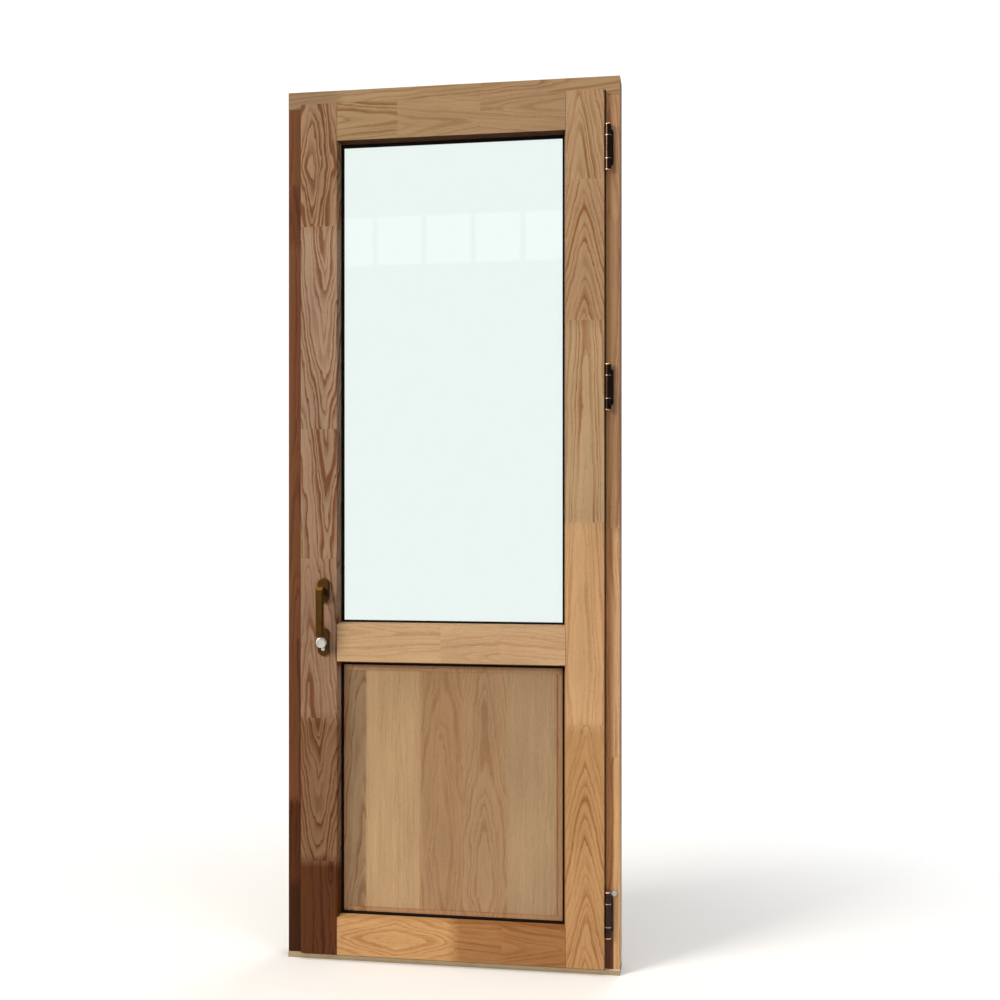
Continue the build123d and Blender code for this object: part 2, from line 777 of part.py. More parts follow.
for hinge_name, hinge_z in hinge_heights.items():
    with BuildPart() as frame_leaf:
        for knuckle_bottom in (hinge_z - end_stop, hinge_z + end_start):
            with BuildSketch(Plane.XY.offset(knuckle_bottom)):
                with Locations((hinge_x, hinge_y)):
                    Circle(knuckle_radius)
            extrude(amount=end_knuckle_length)
        with BuildSketch(front_plane(0)):
            Polygon(
                (hinge_x, hinge_z - wing_half),
                (wing_edge - wing_chamfer, hinge_z - wing_half),
                (wing_edge, hinge_z - wing_half + wing_chamfer),
                (wing_edge, hinge_z + wing_half - wing_chamfer),
                (wing_edge - wing_chamfer, hinge_z + wing_half),
                (hinge_x, hinge_z + wing_half),
                (hinge_x, hinge_z + end_start),
                (notch_edge, hinge_z + end_start),
                (notch_edge, hinge_z - end_start),
                (hinge_x, hinge_z - end_start),
                align=None,
            )
        extrude(amount=wing_thickness)
        with BuildSketch(front_plane(hinge_y + peg_start)):
            with Locations((hinge_x, hinge_z)):
                with GridLocations(0, 2 * end_knuckle_middle, 1, 2):
                    Circle(frame_peg_radius)
        extrude(amount=hinge_y + peg_start - frame_peg_length)
        with BuildSketch(Plane.XY.offset(hinge_z)):
            with Locations((hinge_x, hinge_y)):
                Circle(bore_radius)
        extrude(amount=end_stop, both=True, mode=Mode.SUBTRACT)
    save(frame_leaf, f"{hinge_name}_hinge_frame_leaf")

    with BuildPart() as sash_leaf:
        with BuildSketch(Plane.XY.offset(hinge_z)):
            with Locations((hinge_x, hinge_y)):
                Circle(knuckle_radius)
        extrude(amount=middle_half, both=True)
        with BuildSketch(Plane.YZ.offset(leaf_edge - leaf_peg_length)):
            with Locations((hinge_y, hinge_z)):
                with GridLocations(0, leaf_peg_spacing, 1, 2):
                    Circle(leaf_peg_radius)
        extrude(amount=hinge_x - peg_start - leaf_edge + leaf_peg_length)
        with BuildSketch(Plane.XY.offset(hinge_z)):
            with Locations((hinge_x, hinge_y)):
                Circle(bore_radius)
        extrude(amount=middle_half, both=True, mode=Mode.SUBTRACT)
    save(sash_leaf, f"{hinge_name}_hinge_sash_leaf")

with BuildPart() as hinge_pins:
    for hinge_z in hinge_heights.values():
        with BuildSketch(Plane.XY.offset(hinge_z)):
            with Locations((hinge_x, hinge_y)):
                Circle(hinge_pin_radius)
        extrude(amount=end_stop, both=True)
save(hinge_pins, "hinge_pins")

with BuildPart() as hinge_washers:
    for hinge_z in hinge_heights.values():
        for washer_bottom in (hinge_z - end_start, hinge_z + washer_start):
            with BuildSketch(Plane.XY.offset(washer_bottom)):
                with Locations((hinge_x, hinge_y)):
                    Circle(knuckle_radius + washer_lip)
                    Circle(bore_radius, mode=Mode.SUBTRACT)
            extrude(amount=washer_thickness)
save(hinge_washers, "hinge_washers")

with BuildPart() as hinge_caps:
    for hinge_z in hinge_heights.values():
        for sign in (-1, 1):
            cap_face = hinge_z + sign * end_stop
            with BuildSketch(Plane.XY.offset(cap_face)):
                with Locations((hinge_x, hinge_y)):
                    Circle(hinge_cap_radius)
            extrude(amount=sign * hinge_cap_height)
            cap_rim = cap_face + sign * hinge_cap_height
            fillet(hinge_caps.edges().filter_by_position(Axis.Z, cap_rim, cap_rim), hinge_cap_round)
save(hinge_caps, "hinge_caps")

# Adjusting screw beside the bottom hinge, with a slotted head
with BuildPart() as hinge_adjuster:
    with BuildSketch(front_plane(0)):
        with Locations((adjuster_x, adjuster_z)):
            Circle(adjuster_head_radius)
    extrude(amount=adjuster_head_height)
    with BuildSketch(front_plane(0)):
        with Locations((adjuster_x, adjuster_z)):
            Circle(adjuster_shank_radius)
    extrude(amount=-adjuster_shank_length)
    with BuildSketch(front_plane(-adjuster_head_height)):
        with Locations((adjuster_x, adjuster_z)):
            Rectangle(2 * adjuster_head_radius + overrun, adjuster_slot_width, rotation=45)
    extrude(amount=-adjuster_slot_depth, mode=Mode.SUBTRACT)
save(hinge_adjuster, "hinge_adjuster")


def screw_profile(head_radius, shank_radius, cone_height, length):
    """Half section of a countersunk screw along its axis, from its head to its point."""
    return [
        (0, 0),
        (0, head_radius),
        (cone_height, shank_radius),
        (length - 2 * shank_radius, shank_radius),
        (length, 0),
    ]


# Screws of the keeps, along X into the lock jamb
keep_face = -frame_inner + keep_thickness
with BuildPart() as keep_screws:
    for screw_y, screw_z in keep_screw_places:
        head_middle = (keep_face, screw_y, screw_z)
        with BuildSketch(Plane(origin=head_middle, x_dir=(-1, 0, 0), z_dir=(0, 0, 1))):
            Polygon(
                *screw_profile(keep_screw_radius, keep_screw_shank, keep_screw_cone, keep_screw_length),
                align=None,
            )
        revolve(axis=Axis(head_middle, (-1, 0, 0)))
save(keep_screws, "keep_screws")

# Keeps: the rollers pass below the lip and slide up behind it, the bolt goes through the lock keep
for keep_name, (keep_low, keep_high) in keep_spans.items():
    with BuildPart() as keep:
        with BuildSketch(Plane.YZ.offset(-frame_inner)):
            with Locations((keep_centre, (keep_low + keep_high) / 2)):
                RectangleRounded(keep_width, keep_high - keep_low, keep_corner_round)
            if keep_name == "lock":
                with Locations((deadbolt_centre, deadbolt_middle)):
                    Rectangle(
                        deadbolt_thickness + 2 * bolt_pocket_margin,
                        deadbolt_height + 2 * bolt_pocket_margin,
                        mode=Mode.SUBTRACT,
                    )
        extrude(amount=keep_thickness)
        if keep_name != "lock":
            with BuildSketch(Plane.YZ.offset(keep_face)):
                with Locations((keep_front, roller_heights[keep_name] - keep_lip_below)):
                    Rectangle(
                        keep_lip_thickness,
                        keep_lip_below + keep_lip_above,
                        align=(Align.MIN, Align.MIN),
                    )
            extrude(amount=air_gap - keep_thickness - keep_leaf_clearance)
        add(keep_screws.part, mode=Mode.SUBTRACT)
    save(keep, f"{keep_name}_keep")

# Lock case: a tray open towards the faceplate, closed by a cover on the outer side
case_front = lock_y - case_width / 2
cover_front = lock_y + case_width / 2 - case_wall
case_height = case_top - case_bottom
case_back_x = case_depth - faceplate_back


def case_holes():
    """Adds the holes that pass through the case's two walls to the sketch being made."""
    with Locations((lock_x, lever_height)):
        Circle(follower_hub_radius + running_clearance)
    with Locations(*[(lock_x, height) for height in rose_bolt_heights]):
        Circle(rose_bolt_radius)
    euro_profile(part_clearance)


with BuildPart() as lock_case:
    with BuildSketch(front_plane(case_front)):
        with Locations((-faceplate_back, case_bottom)):
            Rectangle(case_depth, case_height, align=(Align.MIN, Align.MIN))
    extrude(amount=-(case_width - case_wall))
    with BuildSketch(front_plane(case_front + case_wall)):
        with Locations((case_back_x - case_wall, (case_bottom + case_top) / 2)):
            Rectangle(case_depth, case_height - 2 * case_wall, align=(Align.MAX, Align.CENTER))
    extrude(amount=-case_width, mode=Mode.SUBTRACT)
    with BuildSketch(Plane.XY.offset(case_bottom)):
        with Locations((-faceplate_back, case_front + case_wall)):
            Rectangle(
                faceplate_back - drive_bar_inner + drive_bar_clearance,
                drive_bar_width + 2 * drive_bar_clearance,
                align=(Align.MIN, Align.MIN),
            )
    extrude(amount=case_height, mode=Mode.SUBTRACT)
    with BuildSketch(front_plane(case_front)):
        case_holes()
    extrude(amount=-case_wall, mode=Mode.SUBTRACT)
save(lock_case, "lock_case")

with BuildPart() as lock_case_cover:
    with BuildSketch(front_plane(cover_front)):
        with Locations((-faceplate_back, case_bottom)):
            Rectangle(case_depth, case_height, align=(Align.MIN, Align.MIN))
    extrude(amount=-case_wall)
    with BuildSketch(front_plane(cover_front)):
        case_holes()
    extrude(amount=-case_wall, mode=Mode.SUBTRACT)
save(lock_case_cover, "lock_case_cover")

# Screws of the faceplate, along X into the lock stile
with BuildPart() as faceplate_screws:
    for screw_z in faceplate_screw_heights:
        head_middle = (-leaf_body_edge, deadbolt_centre, screw_z)
        with BuildSketch(Plane(origin=head_middle, x_dir=(1, 0, 0), z_dir=(0, 0, 1))):
            Polygon(
                *screw_profile(
                    faceplate_screw_radius,
                    faceplate_screw_shank,
                    faceplate_screw_cone,
                    faceplate_screw_length,
                ),
                align=None,
            )
        revolve(axis=Axis(head_middle, (1, 0, 0)))
save(faceplate_screws, "faceplate_screws")

# Faceplate, flush in the stile's edge, with a slot for each roller and a mouth for the bolt
slot_width = 2 * (roller_stem_radius + slot_clearance)
with BuildPart() as lock_faceplate:
    with BuildSketch(Plane.YZ.offset(-leaf_body_edge)):
        with Locations((lock_y, (faceplate_bottom + faceplate_top) / 2)):
            Rectangle(faceplate_width, faceplate_length)
        with Locations(*[(drive_bar_centre, z - drive_travel / 2) for z in roller_heights.values()]):
            SlotOverall(drive_travel + slot_width, slot_width, rotation=90, mode=Mode.SUBTRACT)
        with Locations((deadbolt_centre, deadbolt_middle)):
            Rectangle(
                deadbolt_thickness + 2 * deadbolt_clearance,
                deadbolt_height + 2 * deadbolt_clearance,
                mode=Mode.SUBTRACT,
            )
    extrude(amount=faceplate_thickness)
    add(faceplate_screws.part, mode=Mode.SUBTRACT)
save(lock_faceplate, "lock_faceplate")

# Follower: a gear on a hub that turns in the case, with a square hole for the spindle
pitch_radius = drive_travel / radians(lever_turn)
tooth_pitch = 2 * pi * pitch_radius / gear_teeth
base_radius = pitch_radius * cos(radians(pressure_angle))
tip_radius = pitch_radius + gear_addendum
root_radius = pitch_radius - gear_dedendum
half_tooth = (tooth_pitch / 2 - tooth_backlash) / 2
pitch_involute = tan(radians(pressure_angle)) - radians(pressure_angle)


def half_angle(radius):
    """Half the angle that a tooth spans at a radius, by the involute of the base circle."""
    angle = acos(min(base_radius / radius, 1))
    return half_tooth / pitch_radius + pitch_involute - (tan(angle) - angle)


flank_radii = [
    base_radius + (tip_radius - base_radius) * step / flank_steps for step in range(flank_steps + 1)
]
flank = [(root_radius, half_angle(base_radius))] + [(r, half_angle(r)) for r in flank_radii]
gear_points = []
for tooth in range(gear_teeth):
    tooth_angle = (tooth + 1 / 2) * 2 * pi / gear_teeth
    polar = [(r, tooth_angle - half) for r, half in flank]
    polar += [(r, tooth_angle + half) for r, half in reversed(flank)]
    gear_points += [(lock_x + r * cos(a), lever_height + r * sin(a)) for r, a in polar]

with BuildPart() as follower:
    with BuildSketch(front_plane(drive_bar_front)):
        Polygon(*gear_points, align=None)
    extrude(amount=-drive_bar_width)
    with BuildSketch(front_plane(case_front)):
        with Locations((lock_x, lever_height)):
            Circle(follower_hub_radius)
    extrude(amount=-case_width)
    with BuildSketch(front_plane(case_front)):
        with Locations((lock_x, lever_height)):
            Rectangle(spindle_width, spindle_width)
    extrude(amount=-case_width, mode=Mode.SUBTRACT)
save(follower, "follower")

# Drive bar, with the rack that the follower moves
rack_line = lock_x - pitch_radius
rack_tip = rack_line + rack_addendum
rack_root = rack_line - rack_dedendum
tip_half = half_tooth - rack_addendum * tan(radians(pressure_angle))
root_half = half_tooth + rack_dedendum * tan(radians(pressure_angle))
rack_low = lever_height - (rack_teeth_below + 1 / 2) * tooth_pitch
rack_high = rack_low + rack_teeth * tooth_pitch
rack_points = [(-drive_bar_inner, rack_low), (rack_root, rack_low)]
for tooth in range(rack_teeth):
    tooth_z = rack_low + (tooth + 1 / 2) * tooth_pitch
    rack_points += [
        (rack_root, tooth_z - root_half),
        (rack_tip, tooth_z - tip_half),
        (rack_tip, tooth_z + tip_half),
        (rack_root, tooth_z + root_half),
    ]
rack_points += [(rack_root, rack_high), (-drive_bar_inner, rack_high)]

with BuildPart() as drive_bar:
    with BuildSketch(front_plane(drive_bar_front)):
        with Locations((-drive_bar_outer, drive_bar_low)):
            Rectangle(
                drive_bar_thickness, drive_bar_high - drive_bar_low, align=(Align.MIN, Align.MIN)
            )
        Polygon(*rack_points, align=None)
    extrude(amount=-drive_bar_width)
save(drive_bar, "drive_bar")

# Rollers on the drive bar, which hold the leaf behind the keeps' lips
roller_end = frame_inner - keep_thickness - roller_end_clearance
with BuildPart() as locking_rollers:
    for roller_z in roller_heights.values():
        with BuildSketch(Plane.YZ.offset(-drive_bar_outer)):
            with Locations((drive_bar_centre, roller_z)):
                Circle(roller_stem_radius)
        extrude(amount=drive_bar_outer - roller_end)
        with BuildSketch(Plane.YZ.offset(-roller_end)):
            with Locations((drive_bar_centre, roller_z)):
                Circle(roller_radius)
        extrude(amount=roller_head_length)
save(locking_rollers, "locking_rollers")

# Deadbolt, flush with the faceplate when it is drawn back, with a notch for the cam
with BuildPart() as deadbolt:
    with BuildSketch(front_plane(deadbolt_front)):
        with Locations((-leaf_body_edge, deadbolt_bottom)):
            Rectangle(deadbolt_length, deadbolt_height, align=(Align.MIN, Align.MIN))
        with Locations((lock_x, deadbolt_bottom)):
            Rectangle(
                deadbolt_notch_width,
                deadbolt_notch_height,
                align=(Align.MIN, Align.MIN),
                mode=Mode.SUBTRACT,
            )
    extrude(amount=-deadbolt_thickness)
save(deadbolt, "deadbolt")

# Cylinder: two halves joined by a bridge below the cam, with the keyway on the outer end
cylinder_front = leaf_face - escutcheon_thickness - cylinder_proud
cylinder_back = leaf_back + escutcheon_thickness + cylinder_proud
cam_slot_front = lock_y - cam_slot / 2
with BuildPart() as lock_cylinder:
    with BuildSketch(front_plane(cylinder_front)):
        euro_profile(0)
    extrude(amount=cylinder_front - cylinder_back)
    with BuildSketch(front_plane(cam_slot_front)):
        with Locations((lock_x, cylinder_height)):
            Circle(cam_reach + 2 * cam_play)
    extrude(amount=-cam_slot, mode=Mode.SUBTRACT)
    with BuildSketch(front_plane(cylinder_front)):
        with Locations((lock_x, cylinder_height)):
            Circle(turn_shaft_radius + running_clearance)
    extrude(amount=cylinder_front - cam_slot_front, mode=Mode.SUBTRACT)
    with BuildSketch(front_plane(cylinder_back)):
        with Locations((lock_x, cylinder_height)):
            Rectangle(keyway_width, keyway_height)
    extrude(amount=keyway_depth, mode=Mode.SUBTRACT)
save(lock_cylinder, "lock_cylinder")

# Cam of the cylinder, on the thumb-turn's shaft
cam_front = cam_slot_front + cam_play
cam_thickness = cam_slot - 2 * cam_play
with BuildPart() as cylinder_cam:
    with BuildSketch(front_plane(cam_front)):
        with Locations((lock_x, cylinder_height)):
            Circle(cam_ring_radius)
            Rectangle(cam_lobe_width, cam_reach, align=(Align.CENTER, Align.MAX))
            Circle(turn_shaft_radius, mode=Mode.SUBTRACT)
    extrude(amount=-cam_thickness)
    fillet(cylinder_cam.edges().filter_by(Axis.Y).group_by(Axis.Z)[0], cam_lobe_round)
save(cylinder_cam, "cylinder_cam")

# Thumb-turn: a dished round knob on its stem, with the shaft that carries the cam
stem_back = cylinder_front - part_clearance
knob_back = stem_back - knob_stem_length
with BuildPart() as thumbturn_knob:
    with BuildSketch(front_plane(knob_back)):
        with Locations((lock_x, cylinder_height)):
            Circle(knob_radius)
    extrude(amount=knob_length)
    fillet(thumbturn_knob.edges().group_by(Axis.Y)[0], knob_edge_round)
    with BuildSketch(front_plane(knob_back - knob_length)):
        with Locations((lock_x, cylinder_height)):
            Circle(knob_dish_radius)
    extrude(amount=-knob_dish_depth, mode=Mode.SUBTRACT)
    with BuildSketch(front_plane(knob_back)):
        with Locations((lock_x, cylinder_height)):
            Circle(knob_stem_radius)
    extrude(amount=-knob_stem_length)
    with BuildSketch(front_plane(stem_back)):
        with Locations((lock_x, cylinder_height)):
            Circle(turn_shaft_radius)
    extrude(amount=stem_back - cam_front - cam_thickness)
save(thumbturn_knob, "thumbturn_knob")

# Roses: stadium-shaped covers, with bolts that draw the inner and the outer one together
rose_hollow = rose_thickness - rose_wall
with BuildPart() as inner_rose:
    with BuildSketch(front_plane(leaf_face)):
        with Locations((lock_x, lever_height)):
            SlotOverall(rose_height, rose_width, rotation=90)
    extrude(amount=rose_thickness)
    fillet(inner_rose.faces().sort_by(Axis.Y)[0].edges(), rose_round)
    with BuildSketch(front_plane(leaf_face)):
        with Locations((lock_x, lever_height)):
            SlotOverall(rose_height - 2 * rose_wall, rose_width - 2 * rose_wall, rotation=90)
    extrude(amount=rose_hollow, mode=Mode.SUBTRACT)
    with BuildSketch(front_plane(leaf_face)):
        with Locations((lock_x, lever_height)):
            Circle(lever_neck_radius + part_clearance)
    extrude(amount=rose_thickness, mode=Mode.SUBTRACT)
save(inner_rose, "inner_rose")

with BuildPart() as outer_rose:
    mirror(inner_rose.part, about=front_plane(leaf_middle))
save(outer_rose, "outer_rose")

with BuildPart() as rose_bolts:
    with BuildSketch(front_plane(leaf_face - rose_hollow)):
        with Locations(*[(lock_x, height) for height in rose_bolt_heights]):
            Circle(rose_bolt_radius)
    extrude(amount=-(leaf_thickness + 2 * rose_hollow))
save(rose_bolts, "rose_bolts")

# Escutcheons round the cylinder's two ends
with BuildPart() as inner_escutcheon:
    with BuildSketch(front_plane(leaf_face)):
        with Locations((lock_x, cylinder_height)):
            SlotOverall(escutcheon_height, escutcheon_width, rotation=90)
    extrude(amount=escutcheon_thickness)
    fillet(inner_escutcheon.faces().sort_by(Axis.Y)[0].edges(), escutcheon_round)
    with BuildSketch(front_plane(leaf_face)):
        euro_profile(part_clearance)
    extrude(amount=escutcheon_thickness, mode=Mode.SUBTRACT)
save(inner_escutcheon, "inner_escutcheon")

with BuildPart() as outer_escutcheon:
    mirror(inner_escutcheon.part, about=front_plane(leaf_middle))
save(outer_escutcheon, "outer_escutcheon")

# Levers: a flat bar with a hipped top, hanging from a round neck that takes the spindle
bar_front = leaf_face - lever_stand
bar_back = bar_front + lever_bar_thickness
lever_top = lever_height + lever_above_axis
lever_end = lever_height - lever_below_axis
neck_end = leaf_face - rose_hollow
spindle_front = bar_front + spindle_seat_depth
with BuildPart() as inner_lever:
    with BuildSketch(Plane.YZ.offset(lock_x)):
        Polygon(
            (bar_back, lever_end),
            (bar_front, lever_end),
            (bar_front, lever_top - lever_hip),
            (bar_front + lever_hip_depth, lever_top),
            (bar_back, lever_top),
            align=None,
        )
    extrude(amount=lever_width / 2, both=True)
    chamfer(inner_lever.edges().filter_by(Axis.Z).group_by(Axis.Y)[0], lever_edge_chamfer)
    with BuildSketch(front_plane(bar_back)):
        with Locations((lock_x, lever_height)):
            Circle(lever_neck_radius)
    extrude(amount=bar_back - neck_end)
    with BuildSketch(front_plane(spindle_front)):
        with Locations((lock_x, lever_height)):
            Rectangle(spindle_width, spindle_width)
    extrude(amount=spindle_front - neck_end, mode=Mode.SUBTRACT)
save(inner_lever, "inner_lever")

with BuildPart() as outer_lever:
    mirror(inner_lever.part, about=front_plane(leaf_middle))
save(outer_lever, "outer_lever")

with BuildPart() as spindle:
    with BuildSketch(front_plane(spindle_front)):
        with Locations((lock_x, lever_height)):
            Rectangle(spindle_width, spindle_width)
    extrude(amount=-2 * (leaf_middle - spindle_front))
save(spindle, "spindle")
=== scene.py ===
"""Dresses the timber entry door: oak members, insulating glass, bronze fittings and studio light."""
import logging
import math
from dataclasses import dataclass, field
from enum import Enum

import bmesh
import bpy
from mathutils import Matrix, Vector


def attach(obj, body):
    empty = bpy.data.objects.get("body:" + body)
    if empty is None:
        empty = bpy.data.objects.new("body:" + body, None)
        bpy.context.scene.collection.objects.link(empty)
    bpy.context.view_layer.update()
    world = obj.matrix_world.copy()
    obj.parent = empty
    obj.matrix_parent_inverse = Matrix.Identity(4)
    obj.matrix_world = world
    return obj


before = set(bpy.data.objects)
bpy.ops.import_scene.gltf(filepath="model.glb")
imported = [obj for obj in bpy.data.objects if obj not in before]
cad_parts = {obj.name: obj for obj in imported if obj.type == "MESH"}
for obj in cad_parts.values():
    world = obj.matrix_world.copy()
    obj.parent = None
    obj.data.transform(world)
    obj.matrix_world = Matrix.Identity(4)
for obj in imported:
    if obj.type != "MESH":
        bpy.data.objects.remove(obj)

Tree = bpy.types.NodeTree
Socket = bpy.types.NodeSocket
Material = bpy.types.Material
Triple = tuple[float, float, float]

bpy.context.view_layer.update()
LOG = logging.getLogger("entry_door")
MM = 0.001
QUARTER = math.pi / 2

# Node types that come up often; a MAP takes a value, the range it comes from and the range it goes to
MATH, VECTOR, MAP, MIX = "ShaderNodeMath", "ShaderNodeVectorMath", "ShaderNodeMapRange", "ShaderNodeMix"
NOISE, RAMP, BUMP = "ShaderNodeTexNoise", "ShaderNodeValToRGB", "ShaderNodeBump"
SURFACE, OUTPUT = "ShaderNodeBsdfPrincipled", "ShaderNodeOutputMaterial"
# Settings of a Mix node for two colours: the second lies over the first, or tints it
OVER = {"out": 2, "data_type": "RGBA"}
TINT = {**OVER, "blend_type": "MULTIPLY"}


class Run(Enum):
    """The way the grain runs in a member, as the letters of its axes: along, across."""

    UP = "ZX"
    LEVEL = "XZ"


class Laid(Enum):
    """How the boards of a member lie: end to end with finger joints, or side by side as staves."""

    END_TO_END = "end_to_end"
    SIDE_BY_SIDE = "side_by_side"


def linear(code: str) -> tuple[float, float, float, float]:
    """Turns an sRGB hex colour into linear light.

    Args:
        code: Six hex digits after a hash sign.

    Returns:
        Red, green, blue and a full alpha.
    """
    parts = [int(code[i:i + 2], 16) / 255 for i in (1, 3, 5)]
    light = [c / 12.92 if c <= 0.04045 else ((c + 0.055) / 1.055) ** 2.4 for c in parts]
    return (*light, 1.0)


def put(
    tree: Tree, kind: str, inputs: list | dict | None = None, out: int | str = 0, **settings: object
) -> Socket | None:
    """Adds a node with its settings, input values and links.

    Args:
        tree: The tree that gets the node.
        kind: The node's type.
        inputs: Values or output sockets, in order or by input name or number.
        out: Name or number of the output to give back.
        settings: The node's own properties.

    Returns:
        The chosen output, or None for a node without outputs.
    """
    made = tree.nodes.new(kind)
    for name, value in settings.items():
        setattr(made, name, value)
    pairs = inputs.items() if isinstance(inputs, dict) else enumerate(inputs or [])
    for key, value in pairs:
        if isinstance(value, Socket):
            tree.links.new(value, made.inputs[key])
        else:
            made.inputs[key].default_value = value
    return made.outputs[out] if made.outputs else None


def fill_ramp(output: Socket, stops: list[tuple[float, tuple[float, ...]]], mode: str) -> None:
    """Gives a colour ramp its stops.

    Args:
        output: An output of a new ramp, which still has its own two stops.
        stops: Place and colour of each stop, in order.
        mode: How the ramp goes from stop to stop.
    """
    ramp = output.node.color_ramp
    ramp.interpolation = mode
    ramp.elements.remove(ramp.elements[-1])
    for number, (place, colour) in enumerate(stops):
        stop = ramp.elements[0] if number == 0 else ramp.elements.new(place)
        stop.position = place
        stop.color = colour


def new_material(name: str) -> tuple[Material, Tree, Socket]:
    """Makes a material whose tree has nothing but the piece's own coordinates.

    Args:
        name: The finish's name.

    Returns:
        The material, its node tree and the coordinates in metres.
    """
    material = bpy.data.materials.new(name)
    material.use_nodes = True
    tree = material.node_tree
    tree.nodes.clear()
    return material, tree, put(tree, "ShaderNodeTexCoord", out="Object")


def new_growth(name: str, sizes: tuple[str, ...]) -> tuple[Tree, dict[str, Socket]]:
    """Makes a Geometry Nodes tree with a mesh and named sizes as its inputs.

    Args:
        name: The tree's name.
        sizes: Names of the sizes.

    Returns:
        The tree and its input sockets by name.
    """
    tree = bpy.data.node_groups.new(name, "GeometryNodeTree")
    tree.interface.new_socket("Geometry", in_out="INPUT", socket_type="NodeSocketGeometry")
    for size in sizes:
        tree.interface.new_socket(size, in_out="INPUT", socket_type="NodeSocketFloat")
    tree.interface.new_socket("Geometry", in_out="OUTPUT", socket_type="NodeSocketGeometry")
    given = put(tree, "NodeGroupInput").node.outputs
    return tree, {socket.name: socket for socket in given if socket.name}


def end_growth(tree: Tree, instances: Socket, material: Material) -> None:
    """Ends a tree: its instances become plain geometry and take their finish.

    Args:
        tree: The Geometry Nodes tree.
        instances: The instances.
        material: Their finish.
    """
    real = put(tree, "GeometryNodeRealizeInstances", [instances])
    dressed = put(tree, "GeometryNodeSetMaterial", {"Geometry": real, "Material": material})
    put(tree, "NodeGroupOutput", [dressed])


def grow(
    name: str, tree: Tree, sizes: dict[str, float], points: list[Triple],
    edges: list[tuple[int, int]], body: str,
) -> None:
    """Runs a Geometry Nodes tree on points or paths and keeps the result as a plain mesh on a body.

    Args:
        name: The piece's name.
        tree: The tree.
        sizes: The tree's sizes in millimetres, by name.
        points: Places in millimetres.
        edges: Pairs of points that a path joins.
        body: The body that the piece rides on.
    """
    source = bpy.data.meshes.new(f"{name}_source")
    source.from_pydata([[value * MM for value in point] for point in points], edges, [])
    piece = bpy.data.objects.new(name, source)
    bpy.context.scene.collection.objects.link(piece)
    growth = piece.modifiers.new("growth", "NODES")
    growth.node_group = tree
    for socket in tree.interface.items_tree:
        if socket.in_out == "INPUT" and socket.name in sizes:
            growth[socket.identifier] = sizes[socket.name] * MM
    graph = bpy.context.evaluated_depsgraph_get()
    mesh = bpy.data.meshes.new_from_object(piece.evaluated_get(graph))
    piece.modifiers.clear()
    piece.data = mesh
    mesh.name = name
    bpy.data.meshes.remove(source)
    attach(piece, body)
    LOG.info("made %s on %s with %d faces", name, body, len(mesh.polygons))


def dress(material: Material, *nodes: str) -> None:
    """Puts a finish on CAD nodes.

    Args:
        material: The finish.
        nodes: Names of the nodes.
    """
    for name in nodes:
        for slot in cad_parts[name].material_slots:
            slot.material = material
        LOG.info("dressed %s in %s", name, material.name)


@dataclass(frozen=True)
class Board:
    """One board of a member: where it ends, its ground colour and its figure.

    The arches stand on a line aside of the member's middle and point away from the eye, which may lie
    beyond the board's ends. The taper sets how far apart they stand; without it the grain is straight.
    """

    end: float
    ground: str
    aside: float
    eye: float
    taper: float
    bold: float = 0.8


@dataclass(frozen=True)
class Streak:
    """A noise drawn out along the grain: size across and along in millimetres, detail and reach."""

    across: float
    along: float
    detail: float
    reach: float = 1.0


@dataclass(frozen=True)
class Margin:
    """The border round a panel's field: where it starts, and its own ground colour."""

    half_width: float
    low: float
    high: float
    ground: str


@dataclass(frozen=True)
class LeafShadowLane:
    """The strip of a jamb's face beside the leaf, painted with the leaf's shadow: where it ends, and its
    shade tones by height.
    """

    edge: float
    tones: tuple[tuple[float, str], ...]


@dataclass(frozen=True)
class Oak:
    """Flat-sawn oak under clear satin lacquer. Sizes are in millimetres.

    Dark porous rings show as lines or nested arches, and boards change tone at each finger joint.

    Attributes:
        name: The material's name.
        run: The way the grain runs.
        start: Where the first board begins.
        boards: The boards, in order.
        centre: The member's middle line.
        face: Depth of the member's front face.
        seed: Sets the noises, so that no two members look alike.
        ring: Width of a growth ring.
        wild: How much the rings sway.
        line: Tint of the rings' dark lines.
        fading: Noise by which the lines come and go.
        laid: How the boards lie.
        blend: Length over which one board's ground runs into the next.
        butt: Both ends of the face, where it meets others in a hairline.
        margin: The border round a panel's field.
        leaf_shadow: The painted shadow of the leaf on the strip beside it.
        underside_shade: Tint of the painted shade on the faces that look down.
        gloss: How strongly the lacquer mirrors.
    """

    name: str
    run: Run
    start: float
    boards: tuple[Board, ...]
    centre: float
    face: float
    seed: float
    ring: float = 12.0
    wild: float = 1.0
    line: str = "#CDA680"
    fading: Streak = Streak(34.0, 420.0, 1.0)
    laid: Laid = Laid.END_TO_END
    blend: float = 36.0
    butt: tuple[float, float] | None = None
    margin: Margin | None = None
    leaf_shadow: LeafShadowLane | None = None
    underside_shade: str | None = None
    gloss: float = 0.25

    def material(self) -> Material:
        """Builds the finish.

        Returns:
            The material.
        """
        material, tree, coords = new_material(self.name)
        OakGrain(self, tree, coords).draw()
        return material


